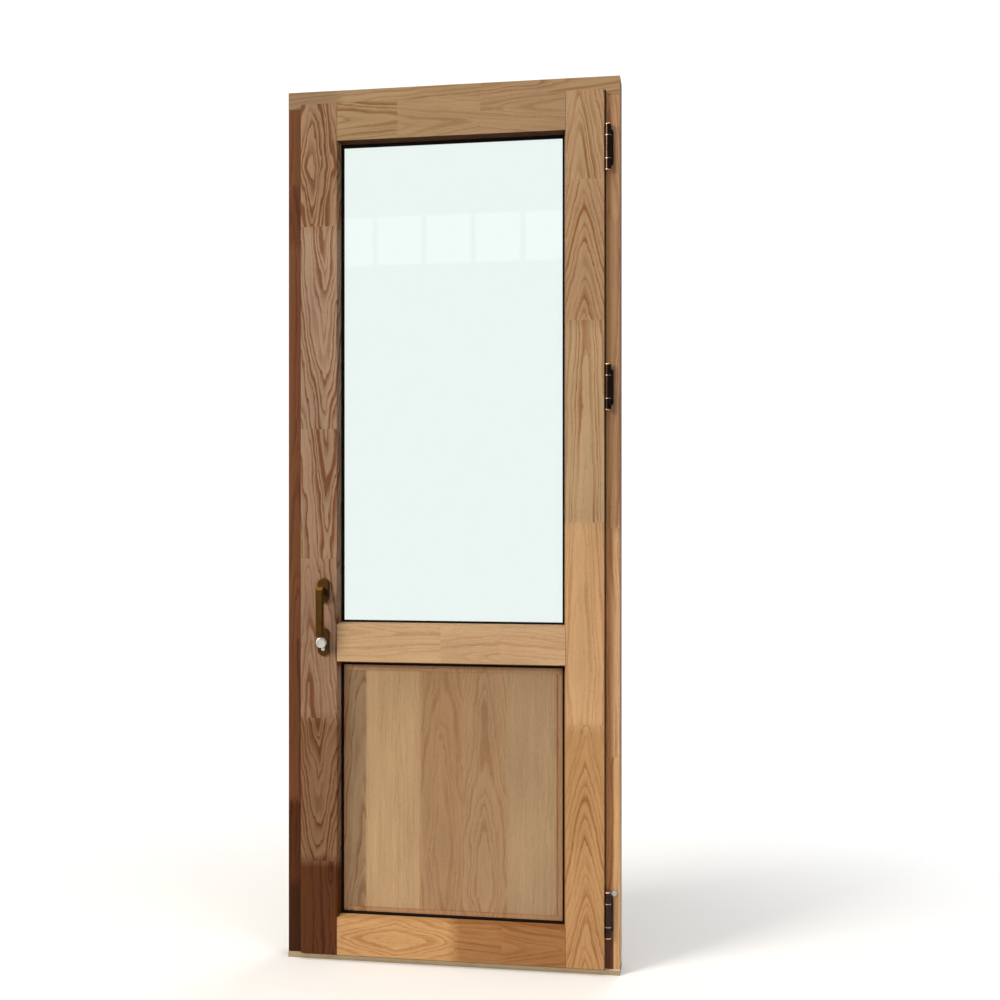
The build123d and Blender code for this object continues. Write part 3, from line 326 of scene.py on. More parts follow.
class OakGrain:
    """Draws an oak finish into its material's tree. Sizes are in millimetres.

    The growth rings are cones round a line before the member's face, and the face cuts them to arches.
    """

    # The comb of a finger joint
    FINGER_PITCH = 7.0
    FINGER_LENGTH = 12.0
    # The cones' line lies this far before the face, which rounds the tips of the arches
    TIP = 8.0
    # What a figure's values from 0 to 1 stand for
    ASIDE_SPAN = 1000.0
    EYE_SPAN = 8000.0
    # How far those values carry a board's noises off on each axis, and how the seed does
    OWN_SHIFT = (410.0, 730.0, 970.0)
    DRIFT = (1.0, 1.7, 2.3)
    # How the rings wander, with the reach in rings
    SWAY = Streak(75.0, 260.0, 1.5, 2.2)
    WAVE = Streak(26.0, 95.0, 1.5, 1.0)
    RAGGED = Streak(3.0, 40.0, 1.5, 0.34)
    # Fat and lean years: rings are wider and narrower by turns
    YEAR_SCALE = 0.7
    YEAR_REACH = 1.4
    # Darkness over one ring, from its porous start to its dense end
    PROFILE = ((0.0, 1.0), (0.12, 0.90), (0.28, 0.44), (0.54, 0.14), (0.86, 0.03), (1.0, 0.60))
    # Some years show strongly and others hardly: the share of chance, its range and the least that shows
    CHANCE = 0.55
    SHOWN = (0.48, 1.0)
    LEAST = 0.08
    # Pores are a third of a millimetre wide and fibres finer: both are drawn coarser, so that they show
    PORE = Streak(0.9, 15.0, 1.0)
    PORE_CUT = (0.58, 0.70)
    PORE_BETWEEN = 0.4
    PORE_DARK = 0.5
    PORE_SINK = 1.6
    FIBRE = Streak(2.6, 90.0, 3.0, 0.30)
    # Slow changes of tone, and the tone where every noise is at its least
    CLOUD = Streak(80.0, 240.0, 1.5, 0.30)
    BAND = Streak(11.0, 600.0, 1.0, 0.16)
    TONE = 0.62
    # The front face passes into the edges between these depths
    FRONT = (2.0, 4.0)
    # Hairlines at the face's ends: from and to, measured from the very end, and their strength
    HAIRLINE = (-1.6, -0.6)
    HAIRLINE_DARK = 0.8
    # How soft the rims of a field and of the painted leaf shadow are
    FIELD_RIM = (0.0, 0.5)
    LEAF_SHADOW_RIM = (-1.0, 1.0)
    # A face counts as an underside, which gets painted shade, between these slopes
    DOWNWARD = (-0.6, -0.2)
    PORE_TINT = "#7A5A3C"
    GAP_TINT = "#5A3A22"
    # The lacquer: duller in the porous lines, with a relief that follows pores and rings
    ROUGH = 0.42
    ROUGH_LINE = 0.12
    RELIEF = {"Strength": 0.30, "Distance": 0.25 * MM}
    COAT = 0.03
    COAT_ROUGH = 0.30

    def __init__(self, oak: Oak, tree: Tree, coords: Socket) -> None:
        """Finds where a place lies in the member, in its board and in the board's grain.

        Args:
            oak: The finish.
            tree: The material's tree.
            coords: The place in metres.
        """
        self.oak, self.tree = oak, tree
        millimetres = put(tree, VECTOR, {0: coords, "Scale": 1 / MM}, operation="SCALE")
        axes = put(tree, "ShaderNodeSeparateXYZ", [millimetres]).node.outputs
        self.along, self.across, self.depth = axes[oak.run.value[0]], axes[oak.run.value[1]], axes["Y"]
        self.figure, self.bold, self.ground = self._board_ramps()
        place = put(tree, "ShaderNodeCombineXYZ", [self.across, self.depth, self.along])
        own = put(tree, VECTOR, [self.figure, self.OWN_SHIFT], operation="MULTIPLY")
        self.moved = put(tree, VECTOR, [place, own], operation="ADD")
        self.ring_line = self._ring_line(self._years())
        self.fibre = self._noise(self.FIBRE)
        self.pore = self._pores()

    def draw(self) -> None:
        """Draws the lacquered surface, which follows open pores and hard rings a little."""
        tree, lines = self.tree, self.ring_line
        rough = put(tree, MATH, [lines, self.ROUGH_LINE, self.ROUGH], operation="MULTIPLY_ADD")
        sunk = put(tree, MATH, [self.pore, self.PORE_SINK, lines], operation="MULTIPLY_ADD")
        height = put(tree, MATH, [self.fibre, sunk], operation="SUBTRACT")
        bump = put(tree, BUMP, {**self.RELIEF, "Height": height})
        shader = put(tree, SURFACE, {
            "Base Color": self._colour(), "Roughness": rough, "Specular IOR Level": self.oak.gloss,
            "Coat Weight": self.COAT, "Coat Roughness": self.COAT_ROUGH, "Normal": bump,
        })
        put(tree, OUTPUT, [shader])

    def _fingered(self) -> Socket:
        """Shifts the place along the member by a finger joint's comb, which shows on the member's edges.

        Returns:
            The shifted place.
        """
        inward = put(self.tree, MATH, [self.depth, self.oak.face], operation="SUBTRACT")
        tooth = put(self.tree, MATH, [inward, self.FINGER_PITCH / 2], operation="PINGPONG")
        stretch = 2 * self.FINGER_LENGTH / self.FINGER_PITCH
        return put(self.tree, MATH, [tooth, stretch, self.along], operation="MULTIPLY_ADD")

    def _board_ramps(self) -> tuple[Socket, Socket, Socket]:
        """Looks up which board a place lies in.

        Returns:
            The figure's three values from 0 to 1, the boldness of its lines, and the ground colour.
        """
        oak, tree = self.oak, self.tree
        place = self.across if oak.laid is Laid.SIDE_BY_SIDE else self._fingered()
        last = oak.boards[-1].end
        share = put(tree, MAP, [place, oak.start, last])
        figures, grounds = [], []
        begin, soft = oak.start, oak.blend / 2
        for board in oak.boards:
            aside, eye = board.aside / self.ASIDE_SPAN + 0.5, board.eye / self.EYE_SPAN + 0.5
            edges = (begin, begin + soft, board.end - soft)
            first, near, far = [(edge - oak.start) / (last - oak.start) for edge in edges]
            figures.append((first, (aside, eye, board.taper, board.bold)))
            grounds += [(near, linear(board.ground)), (far, linear(board.ground))]
            begin = board.end
        figure = put(tree, RAMP, [share])
        fill_ramp(figure, figures, "CONSTANT")
        ground = put(tree, RAMP, [share])
        fill_ramp(ground, grounds, "LINEAR")
        return figure, figure.node.outputs["Alpha"], ground

    def _past(self, place: Socket, low: float, high: float) -> Socket:
        """Measures how far a place lies beyond a stretch.

        Args:
            place: The place.
            low: Where the stretch begins.
            high: Where it ends.

        Returns:
            The distance, less than 0 within the stretch.
        """
        centred = put(self.tree, MATH, [place, (low + high) / 2], operation="SUBTRACT")
        away = put(self.tree, MATH, [centred], operation="ABSOLUTE")
        return put(self.tree, MATH, [away, (high - low) / 2], operation="SUBTRACT")

    def _front(self, strength: float) -> Socket:
        """Keeps something to the front face.

        Args:
            strength: Its strength there.

        Returns:
            The strength on the front face, and 0 behind it.
        """
        near, far = (self.oak.face + step for step in self.FRONT)
        return put(self.tree, MAP, [self.depth, near, far, strength, 0.0])

    def _noise(self, streak: Streak) -> Socket:
        """Adds a noise that is drawn out along the grain.

        Args:
            streak: The noise's sizes.

        Returns:
            The noise, about 0.5 on average.
        """
        scale = (1 / streak.across, 1 / streak.across, 1 / streak.along)
        drift = tuple(self.oak.seed * step for step in self.DRIFT)
        place = put(self.tree, VECTOR, [self.moved, scale, drift], operation="MULTIPLY_ADD")
        return put(self.tree, NOISE, {"Vector": place, "Scale": 1.0, "Detail": streak.detail})

    def _years(self) -> Socket:
        """Counts the growth rings from the figure's eye to a place.

        Returns:
            The number of rings, with a fraction.
        """
        oak, tree = self.oak, self.tree
        aside, eye, taper = put(tree, "ShaderNodeSeparateColor", [self.figure]).node.outputs
        middle = oak.centre - self.ASIDE_SPAN / 2
        axis = put(tree, MATH, [aside, self.ASIDE_SPAN, middle], operation="MULTIPLY_ADD")
        origin = put(tree, MATH, [eye, self.EYE_SPAN, -self.EYE_SPAN / 2], operation="MULTIPLY_ADD")
        sideways = put(tree, MATH, [self.across, axis], operation="SUBTRACT")
        behind = put(tree, MATH, [self.depth, oak.face - self.TIP], operation="SUBTRACT")
        section = put(tree, "ShaderNodeCombineXYZ", [sideways, behind])
        spread = put(tree, VECTOR, [section], out="Value", operation="LENGTH")
        away = put(tree, MATH, [self.along, origin], operation="SUBTRACT")
        far = put(tree, MATH, [away], operation="ABSOLUTE")
        age = put(tree, MATH, [far, taper, spread], operation="MULTIPLY_ADD")
        years = put(tree, MATH, [age, 1 / oak.ring], operation="MULTIPLY")
        for streak, wild in ((self.SWAY, oak.wild), (self.WAVE, oak.wild), (self.RAGGED, 1.0)):
            step = [self._noise(streak), streak.reach * wild, years]
            years = put(tree, MATH, step, operation="MULTIPLY_ADD")
        growth = put(
            tree, NOISE, {"W": years, "Scale": self.YEAR_SCALE, "Detail": 0.0}, noise_dimensions="1D"
        )
        return put(tree, MATH, [growth, self.YEAR_REACH, years], operation="MULTIPLY_ADD")

    def _ring_line(self, years: Socket) -> Socket:
        """Finds how near a place is to the dark start of a growth ring.

        Args:
            years: Number of rings.

        Returns:
            1 on a ring's dark line and 0 between the lines.
        """
        tree = self.tree
        phase = put(tree, MATH, [years], operation="FRACT")
        profile = put(tree, RAMP, [phase])
        fill_ramp(profile, [(at, (grey, grey, grey, 1.0)) for at, grey in self.PROFILE], "LINEAR")
        year = put(tree, MATH, [years], operation="FLOOR")
        chance = put(tree, "ShaderNodeTexWhiteNoise", {"W": year}, noise_dimensions="1D")
        fading = self._noise(self.oak.fading)
        mood = put(tree, MATH, [chance, self.CHANCE, fading], operation="MULTIPLY_ADD")
        shown = put(tree, MAP, [mood, *self.SHOWN, self.LEAST])
        strength = put(tree, MATH, [shown, self.bold], operation="MULTIPLY")
        return put(tree, MATH, [profile, strength], operation="MULTIPLY")

    def _pores(self) -> Socket:
        """Adds the short dark pores, which are densest in the rings' dark lines.

        Returns:
            1 in a pore.
        """
        cut = put(self.tree, MAP, [self._noise(self.PORE), *self.PORE_CUT])
        between = self.PORE_BETWEEN
        share = put(self.tree, MATH, [self.ring_line, 1 - between, between], operation="MULTIPLY_ADD")
        return put(self.tree, MATH, [cut, share], operation="MULTIPLY")

    def _bordered(self, ground: Socket) -> Socket:
        """Gives the border round the field its own ground colour.

        Args:
            ground: The boards' ground colour.

        Returns:
            The ground colour with the border.
        """
        rim, tree = self.oak.margin, self.tree
        beside = self._past(self.across, -rim.half_width, rim.half_width)
        beyond = self._past(self.along, rim.low, rim.high)
        outside = put(tree, MATH, [beside, beyond], operation="MAXIMUM")
        share = put(tree, MAP, [outside, *self.FIELD_RIM])
        return put(tree, MIX, {0: share, 6: ground, 7: linear(rim.ground)}, **OVER)

    def _paint_leaf_shadow(self, ground: Socket) -> Socket:
        """Paints the leaf's shadow on the strip beside the leaf in deeper tones, on the front face only.

        Args:
            ground: The boards' ground colour.

        Returns:
            The ground colour with the painted shadow.
        """
        leaf_shadow, tree = self.oak.leaf_shadow, self.tree
        tallest = leaf_shadow.tones[-1][0]
        height = put(tree, MATH, [self.along, tallest], operation="DIVIDE")
        tone = put(tree, RAMP, [height])
        fill_ramp(tone, [(at / tallest, linear(code)) for at, code in leaf_shadow.tones], "LINEAR")
        past = self._past(self.across, -leaf_shadow.edge, leaf_shadow.edge)
        share = put(tree, MAP, [past, *self.LEAF_SHADOW_RIM, self._front(1.0), 0.0])
        return put(tree, MIX, {0: share, 6: ground, 7: tone}, **OVER)

    def _hairlines(self) -> Socket:
        """Finds the hairlines where the ends of the member's face meet its neighbours.

        Returns:
            The lines' strength.
        """
        past = self._past(self.along, *self.oak.butt)
        return put(self.tree, MAP, [past, *self.HAIRLINE, 0.0, self._front(self.HAIRLINE_DARK)])

    def _underside_shade_mask(self) -> Socket:
        """Finds the faces that look down, which get painted shade.

        Returns:
            1 on an underside.
        """
        normal = put(self.tree, "ShaderNodeNewGeometry", out="Normal")
        upward = put(self.tree, "ShaderNodeSeparateXYZ", [normal], out="Z")
        return put(self.tree, MAP, [upward, *self.DOWNWARD, 1.0, 0.0])

    def _tinted(self, colour: Socket, share: Socket, tint: str) -> Socket:
        """Lays a tint over part of a colour."""
        return put(self.tree, MIX, {0: share, 6: colour, 7: linear(tint)}, **TINT)

    def _colour(self) -> Socket:
        """Mixes the board's ground with its lines, fibres, pores and slow changes of tone, and paints
        shade beside the leaf and on undersides.

        Returns:
            The colour.
        """
        oak, tree, colour = self.oak, self.tree, self.ground
        if oak.margin:
            colour = self._bordered(colour)
        # Painted shadow of the leaf on the strip beside it
        if oak.leaf_shadow:
            colour = self._paint_leaf_shadow(colour)
        colour = self._tinted(colour, self.ring_line, oak.line)
        dark = put(tree, MATH, [self.pore, self.PORE_DARK], operation="MULTIPLY")
        colour = self._tinted(colour, dark, self.PORE_TINT)
        tone = self.TONE
        cloud, band = self._noise(self.CLOUD), self._noise(self.BAND)
        for streak, noise in ((self.FIBRE, self.fibre), (self.CLOUD, cloud), (self.BAND, band)):
            tone = put(tree, MATH, [noise, streak.reach, tone], operation="MULTIPLY_ADD")
        colour = put(tree, "ShaderNodeHueSaturation", {"Value": tone, "Color": colour})
        if oak.butt:
            colour = self._tinted(colour, self._hairlines(), self.GAP_TINT)
        # Painted shade on the faces that look down
        if oak.underside_shade:
            colour = self._tinted(colour, self._underside_shade_mask(), oak.underside_shade)
        return colour


@dataclass(frozen=True)
class Metal:
    """A metal with a fine grain: satin, brushed along one axis, or cast. Sizes are in millimetres.

    Real grain is finer than a tenth of a millimetre. It is drawn some ten times coarser, to show.
    """

    name: str
    colour: str
    wear: str
    roughness: float
    grain: Triple = (1.0, 1.0, 1.0)

    GRAIN_DETAIL = 3.0
    # How much the grain changes tone and roughness
    GRAIN_TONE = 0.30
    GRAIN_ROUGH = 0.22
    RELIEF = {"Strength": 0.35, "Distance": 0.02 * MM}
    # Worn patches: their size and detail, the range of the noise they take, and the most they show
    PATCH = 36.0
    PATCH_DETAIL = 2.0
    WORN = (0.42, 0.72)
    WORN_MOST = 0.7

    def material(self) -> Material:
        """Builds the finish.

        Returns:
            The material.
        """
        material, tree, coords = new_material(self.name)
        scale = tuple(1 / (size * MM) for size in self.grain)
        place = put(tree, VECTOR, [coords, scale], operation="MULTIPLY")
        grain = put(tree, NOISE, {"Vector": place, "Scale": 1.0, "Detail": self.GRAIN_DETAIL})
        patch = put(
            tree, NOISE, {"Vector": coords, "Scale": 1 / (self.PATCH * MM), "Detail": self.PATCH_DETAIL}
        )
        worn = put(tree, MAP, [patch, *self.WORN, 0.0, self.WORN_MOST])
        base = put(tree, MIX, {0: worn, 6: linear(self.colour), 7: linear(self.wear)}, **OVER)
        # The grain is 0.5 on average, so half of each change is taken off
        tone, rough = [
            put(tree, MATH, [grain, change, middle - change / 2], operation="MULTIPLY_ADD")
            for middle, change in ((1.0, self.GRAIN_TONE), (self.roughness, self.GRAIN_ROUGH))
        ]
        colour = put(tree, "ShaderNodeHueSaturation", {"Value": tone, "Color": base})
        bump = put(tree, BUMP, {**self.RELIEF, "Height": grain})
        look = {"Base Color": colour, "Roughness": rough, "Metallic": 1.0, "Normal": bump}
        shader = put(tree, SURFACE, look)
        put(tree, OUTPUT, [shader])
        return material


@dataclass(frozen=True)
class Rubber:
    """Extruded rubber: matte and nearly black, with a faint dusty bloom. Sizes are in millimetres.

    The grit of its skin is finer than a tenth of a millimetre. It is drawn coarser, to show.
    """

    name: str
    colour: str
    bloom: str

    GRIT = 1.5
    RELIEF = {"Strength": 0.2, "Distance": 0.05 * MM}
    # Roughness where the grit is at its least, and how much the grit adds
    ROUGH = 0.62
    ROUGH_GRIT = 0.2
    # Dust: its size and detail, the range of the noise it takes, and the most it shows
    DUST = 40.0
    DUST_DETAIL = 4.0
    DUSTY = (0.4, 0.8)
    DUSTY_MOST = 0.6
    GLOSS = 0.12

    def material(self) -> Material:
        """Builds the finish.

        Returns:
            The material.
        """
        material, tree, coords = new_material(self.name)
        dust = put(
            tree, NOISE, {"Vector": coords, "Scale": 1 / (self.DUST * MM), "Detail": self.DUST_DETAIL}
        )
        share = put(tree, MAP, [dust, *self.DUSTY, 0.0, self.DUSTY_MOST])
        colour = put(tree, MIX, {0: share, 6: linear(self.colour), 7: linear(self.bloom)}, **OVER)
        grit = put(tree, NOISE, {"Vector": coords, "Scale": 1 / (self.GRIT * MM)})
        rough = put(tree, MATH, [grit, self.ROUGH_GRIT, self.ROUGH], operation="MULTIPLY_ADD")
        bump = put(tree, BUMP, {**self.RELIEF, "Height": grit})
        shader = put(tree, SURFACE, {
            "Base Color": colour, "Roughness": rough, "Normal": bump, "Specular IOR Level": self.GLOSS,
        })
        put(tree, OUTPUT, [shader])
        return material


@dataclass(frozen=True)
class FloatGlass:
    """Clear float glass: sharp reflections, a pale mint cast and barely uneven faces, in millimetres."""

    name: str
    colour: str

    IOR = 1.5
    RIPPLE = 240.0
    RELIEF = {"Strength": 0.05, "Distance": 0.4 * MM}

    def material(self) -> Material:
        """Builds the finish.

        Returns:
            The material.
        """
        material, tree, coords = new_material(self.name)
        wave = put(tree, NOISE, {"Vector": coords, "Scale": 1 / (self.RIPPLE * MM)})
        bump = put(tree, BUMP, {**self.RELIEF, "Height": wave})
        shader = put(tree, SURFACE, {
            "Base Color": linear(self.colour), "Roughness": 0.0, "IOR": self.IOR,
            "Transmission Weight": 1.0, "Normal": bump,
        })
        put(tree, OUTPUT, [shader])
        return material


@dataclass
class DoorFrame:
    """The frame: two jambs under a head, the threshold and the seal. Sizes are in millimetres."""

    jamb_middle: float = 441.0
    bottom: float = 15.0
    top: float = 2354.0
    half_width: float = 460.0
    head_middle: float = 2384.0
    face: float = 0.0
    # Painted shadow of the leaf on the hinge jamb's strip beside it, darkest at the foot under the bottom
    # hinge
    leaf_shadow: LeafShadowLane = LeafShadowLane(443.0, (
        (95.0, "#5C2E19"), (150.0, "#A5754A"), (1160.0, "#B08257"), (1230.0, "#A67F59"),
    ))

    def build(self) -> None:
        """Dresses the frame's members."""
        for name, finish in self._timber().items():
            dress(finish.material(), name)
        # Anodised aluminium, extruded: pale sand with fine drawing lines along its length
        sand = Metal("sand_anodised_aluminium", "#B5A385", "#A79679", 0.42, (60.0, 0.9, 0.9))
        dress(sand.material(), "threshold")
        # Extruded rubber in dark brown, which hides in the shade of the rebate
        dress(Rubber("brown_frame_seal", "#1E1611", "#2E241C").material(), "frame_seal")

    def _timber(self) -> dict[str, Oak]:
        """Sets out the boards of both jambs and of the head.

        Returns:
            The members' finishes by node name.
        """
        ends = (-self.top, self.top)
        # Lacquered oak, finger-jointed: straight honey boards in a soft sheen, a new tone at each joint;
        # the two lowest boards are paler in part as painted sunlight
        hinge_jamb = (
            Board(574.0, "#BF9769", 60.0, 0.0, 0.02),
            Board(1188.0, "#BE9B75", -50.0, 0.0, 0.02),
            Board(2014.0, "#A07C5B", 45.0, 0.0, 0.03),
            Board(self.top, "#A3805D", -8.0, 1600.0, 0.10),
        )
        # The same oak, deep brown in part as painted shade and darker still as painted shade towards the
        # floor, with a duller sheen on the side away from the light
        lock_jamb = (
            Board(205.0, "#381A05", 44.0, 0.0, 0.02),
            Board(435.0, "#4E2A12", 50.0, 0.0, 0.02),
            Board(880.0, "#694229", -40.0, 0.0, 0.03),
            Board(1493.0, "#6D462B", 8.0, 500.0, 0.08),
            Board(1980.0, "#6E4429", 55.0, 0.0, 0.02),
            Board(2135.0, "#5E3415", -12.0, 1500.0, 0.08),
            Board(self.top, "#673E1F", 30.0, 0.0, 0.04),
        )
        # The same oak laid level: greyer brown, with long flat lines
        head = (
            Board(-312.0, "#876B4C", 20.0, -900.0, 0.05),
            Board(81.0, "#957B58", -16.0, 500.0, 0.06),
            Board(self.half_width, "#997D5B", 14.0, -300.0, 0.07),
        )
        return {
            "hinge_jamb": Oak(
                "oak_hinge_jamb", Run.UP, self.bottom, hinge_jamb, self.jamb_middle, self.face, 53.1,
                butt=ends, leaf_shadow=self.leaf_shadow,
            ),
            "lock_jamb": Oak(
                "oak_lock_jamb", Run.UP, self.bottom, lock_jamb, -self.jamb_middle, self.face, 59.9,
                line="#C49A78", butt=ends, gloss=0.10,
            ),
            "head": Oak("oak_head", Run.LEVEL, -self.half_width, head, self.head_middle, self.face, 61.7),
        }


@dataclass
class Leaf:
    """The leaf: stiles and rails of oak, glass unit, panel and beads. Sizes are in millimetres."""

    face: float = -18.0
    back: float = 50.0
    stile_middle: float = 368.0
    bottom: float = 18.0
    top: float = 2363.0
    arris: float = 316.5
    top_rail_middle: float = 2308.0
    middle_rail_middle: float = 876.0
    bottom_rail_middle: float = 69.0
    panel_half: float = 330.0
    panel_face: float = 9.0
    margin: Margin = Margin(289.5, 147.0, 799.0, "#B58C66")
    bead_seat: float = 38.0
    bead_middle: float = 900.0
    pin_line: float = 324.0
    pin_inset: float = 45.0
    pin_spacing: float = 165.0
    pin_radius: float = 1.0
    pin_length: float = 0.6
    pin_corners: int = 12
    infills: dict[str, tuple[float, float]] = field(
        default_factory=lambda: {"glass": (919.5, 2266.0), "panel": (112.5, 833.5)}
    )

    def build(self) -> None:
        """Dresses the leaf's members, glass and seals, and pins its beads."""
        for name, finish in {**self._stiles(), **self._rails(), "door_panel": self._panel()}.items():
            dress(finish.material(), name)
        self._beads()
        self._pins()
        # Soda-lime float glass: clear, with the mint cast that two panes give
        dress(FloatGlass("clear_float_glass", "#F8FDFB").material(), "inner_pane", "outer_pane")
        # Extruded rubber in black: a matte dark line round glass and panel
        rubber = Rubber("black_glazing_gasket", "#070403", "#120C08").material()
        for infill in self.infills:
            dress(rubber, f"{infill}_inner_gasket", f"{infill}_outer_gasket")
        # Extruded rubber in dark brown, which hides in the shade under the leaf
        dress(Rubber("brown_floor_seal", "#1E1611", "#2E241C").material(), "bottom_seal")
        # Rolled aluminium as it comes from the mill: dull light grey with rolling lines
        mill = Metal("mill_aluminium", "#9A9C9C", "#8C8E8E", 0.45, (0.8, 0.8, 30.0))
        dress(mill.material(), "glass_spacer")

    def _stiles(self) -> dict[str, Oak]:
        """Sets out the boards of both stiles.

        Returns:
            The stiles' finishes by node name.
        """
        # Lacquered oak, finger-jointed: tall golden arches in a soft sheen
        hinge_stile = (
            Board(663.0, "#AE8557", 2.0, -120.0, 0.25, 0.9),
            Board(1203.0, "#BB956B", -16.0, 820.0, 0.06, 0.5),
            Board(1742.0, "#AA8E6B", 3.0, 900.0, 0.03, 0.95),
            Board(2117.0, "#9E7F5D", -3.0, 1500.0, 0.26, 1.3),
            Board(self.top, "#A18461", -16.0, 1850.0, 0.16, 1.0),
        )
        # The same oak, browner in part as painted shade and darkest as painted shade at the foot: wild
        # arches and a duller sheen on the side away from the light
        lock_stile = (
            Board(274.0, "#532C0B", 40.0, -300.0, 0.05, 1.2),
            Board(668.0, "#7C5C41", 4.0, 900.0, 0.20, 1.4),
            Board(1104.0, "#92755E", -26.0, 300.0, 0.10, 1.2),
            Board(1463.0, "#957961", 22.0, 1800.0, 0.09, 1.65),
            Board(2018.0, "#987E67", 18.0, 2300.0, 0.15, 1.6),
            Board(self.top, "#8F7153", -22.0, 2190.0, 0.17, 2.3),
        )
        return {
            "hinge_stile": Oak(
                "oak_hinge_stile", Run.UP, self.bottom, hinge_stile, self.stile_middle, self.face, 3.1
            ),
            "lock_stile": Oak(
                "oak_lock_stile", Run.UP, self.bottom, lock_stile, -self.stile_middle, self.face, 7.7,
                wild=1.8, line="#BE9676", gloss=0.15,
            ),
        }

    def _rails(self) -> dict[str, Oak]:
        """Sets out the boards of the three rails.

        Returns:
            The rails' finishes by node name.
        """
        # The same oak laid level: flat arches, and painted shade on the undersides
        rows = {
            "top_rail": (self.top_rail_middle, 11.3, (
                Board(-147.0, "#927852", 8.0, -700.0, 0.10, 1.3),
                Board(84.0, "#967A57", -14.0, -420.0, 0.15, 0.5),
                Board(self.arris, "#957958", 16.0, 760.0, 0.11, 0.5),
            )),
            "middle_rail": (self.middle_rail_middle, 17.9, (
                Board(-26.0, "#BA9A74", 30.0, -800.0, 0.05, 0.45),
                Board(139.0, "#B89771", -30.0, 420.0, 0.10, 0.4),
                Board(self.arris, "#B79671", -44.0, -200.0, 0.06, 0.45),
            )),
            "bottom_rail": (self.bottom_rail_middle, 23.7, (
                # The bottom rail's first board is paler in part as painted sunlight
                Board(10.0, "#B98F5E", 0.0, -152.0, 0.24, 0.7),
                Board(143.0, "#976B3E", 30.0, 560.0, 0.08, 0.7),
                Board(self.arris, "#926539", -6.0, 60.0, 0.15, 0.75),
            )),
        }
        return {
            name: Oak(
                f"oak_{name}", Run.LEVEL, -self.arris, boards, middle, self.face, seed,
                butt=(-self.arris, self.arris), underside_shade="#957A66",
            )
            for name, (middle, seed, boards) in rows.items()
        }

    def _panel(self) -> Oak:
        """Glues the raised panel up from staves of different trees.

        Returns:
            The panel's finish.
        """
        # The same oak in glued staves: straight and arched strips side by side, with a paler border
        staves = (
            Board(-240.0, "#866D52", -246.0, -300.0, 0.12, 0.85),
            Board(-86.0, "#A98B66", -450.0, 0.0, 0.015, 0.35),
            Board(29.0, "#987755", -26.0, 300.0, 0.11, 0.42),
            Board(154.0, "#9B7C5B", 92.0, 200.0, 0.14, 0.5),
            Board(self.panel_half, "#9B8060", 450.0, 0.0, 0.015, 0.25),
        )
        return Oak(
            "oak_panel_staves", Run.UP, -self.panel_half, staves, 0.0, self.panel_face, 31.1,
            ring=14.0, wild=1.5, fading=Streak(24.0, 120.0, 1.0), laid=Laid.SIDE_BY_SIDE, blend=12.0,
            margin=self.margin,
        )

    def _beads(self) -> None:
        """Dresses the glazing beads, whose grain follows their length."""
        # The same oak in thin strips: straight quiet grain in one tone
        tone = "#A2805C"
        upright = Oak(
            "oak_upright_beads", Run.UP, self.bottom, (Board(self.top, tone, 90.0, 0.0, 0.02),),
            0.0, self.bead_seat, 41.3,
        ).material()
        level = Oak(
            "oak_level_beads", Run.LEVEL, -self.panel_half,
            (Board(self.panel_half, tone, 60.0, -900.0, 0.02),), self.bead_middle, self.bead_seat, 43.9,
        ).material()
        for infill in self.infills:
            dress(upright, f"{infill}_lock_side_bead", f"{infill}_hinge_side_bead")
            dress(level, f"{infill}_bottom_bead", f"{infill}_top_bead")

    def _pins(self) -> None:
        """Sets a row of pin heads along each bead."""
        points, edges = [], []
        side, level = self.pin_line, self.pin_line - self.pin_inset
        for low, high in self.infills.values():
            middle, upright = (low + high) / 2, (high - low) / 2 - self.pin_inset
            for x, z, reach_x, reach_z in (
                (-side, middle, 0.0, upright), (side, middle, 0.0, upright),
                (0.0, low, level, 0.0), (0.0, high, level, 0.0),
            ):
                edges.append((len(points), len(points) + 1))
                points += [(x + s * reach_x, self.back, z + s * reach_z) for s in (-1, 1)]
        tree, given = new_growth("pin_row", ("Spacing", "Radius", "Length"))
        path = put(tree, "GeometryNodeMeshToCurve", [given["Geometry"]])
        stops = put(
            tree, "GeometryNodeResampleCurve", {"Curve": path, "Length": given["Spacing"]}, mode="LENGTH"
        )
        pin = put(tree, "GeometryNodeMeshCylinder", {
            "Vertices": self.pin_corners, "Radius": given["Radius"], "Depth": given["Length"],
        }, out="Mesh")
        turned = put(tree, "GeometryNodeTransform", {"Geometry": pin, "Rotation": (QUARTER, 0.0, 0.0)})
        rows = put(tree, "GeometryNodeInstanceOnPoints", {"Points": stops, "Instance": turned})
        # Drawn steel wire, blued: small dark dots with a dull glint
        end_growth(tree, rows, Metal("blued_steel_pins", "#3A3632", "#2A2724", 0.4).material())
        sizes = {"Spacing": self.pin_spacing, "Radius": self.pin_radius, "Length": self.pin_length}
        grow("bead_pins", tree, sizes, points, edges, "leaf")


@dataclass
class Hinges:
    """The three knuckle hinges and the adjusting screw."""

    places: tuple[str, str, str] = ("bottom", "middle", "top")

    def build(self) -> None:
        """Dresses the knuckles, caps, washers and the screw."""
        # Bronzed steel: nearly black brown, smooth enough for a thin bright line along the knuckle
        dark = Metal("dark_bronzed_steel", "#3E3029", "#2A201A", 0.30, (1.2, 1.2, 1.2)).material()
        for place in self.places:
            dress(dark, f"{place}_hinge_frame_leaf", f"{place}_hinge_sash_leaf")
        # Copper-plated steel, satin: warm rings and caps that catch the light
        copper = Metal("satin_copper_trim", "#EAC5AC", "#D2A585", 0.42).material()
        dress(copper, "hinge_caps", "hinge_washers")
        # Zinc-plated steel: cool bluish grey
        zinc = Metal("zinc_plated_steel", "#B9C0C0", "#9FA8A8", 0.34, (0.9, 0.9, 0.9)).material()
        dress(zinc, "hinge_pins", "hinge_adjuster")


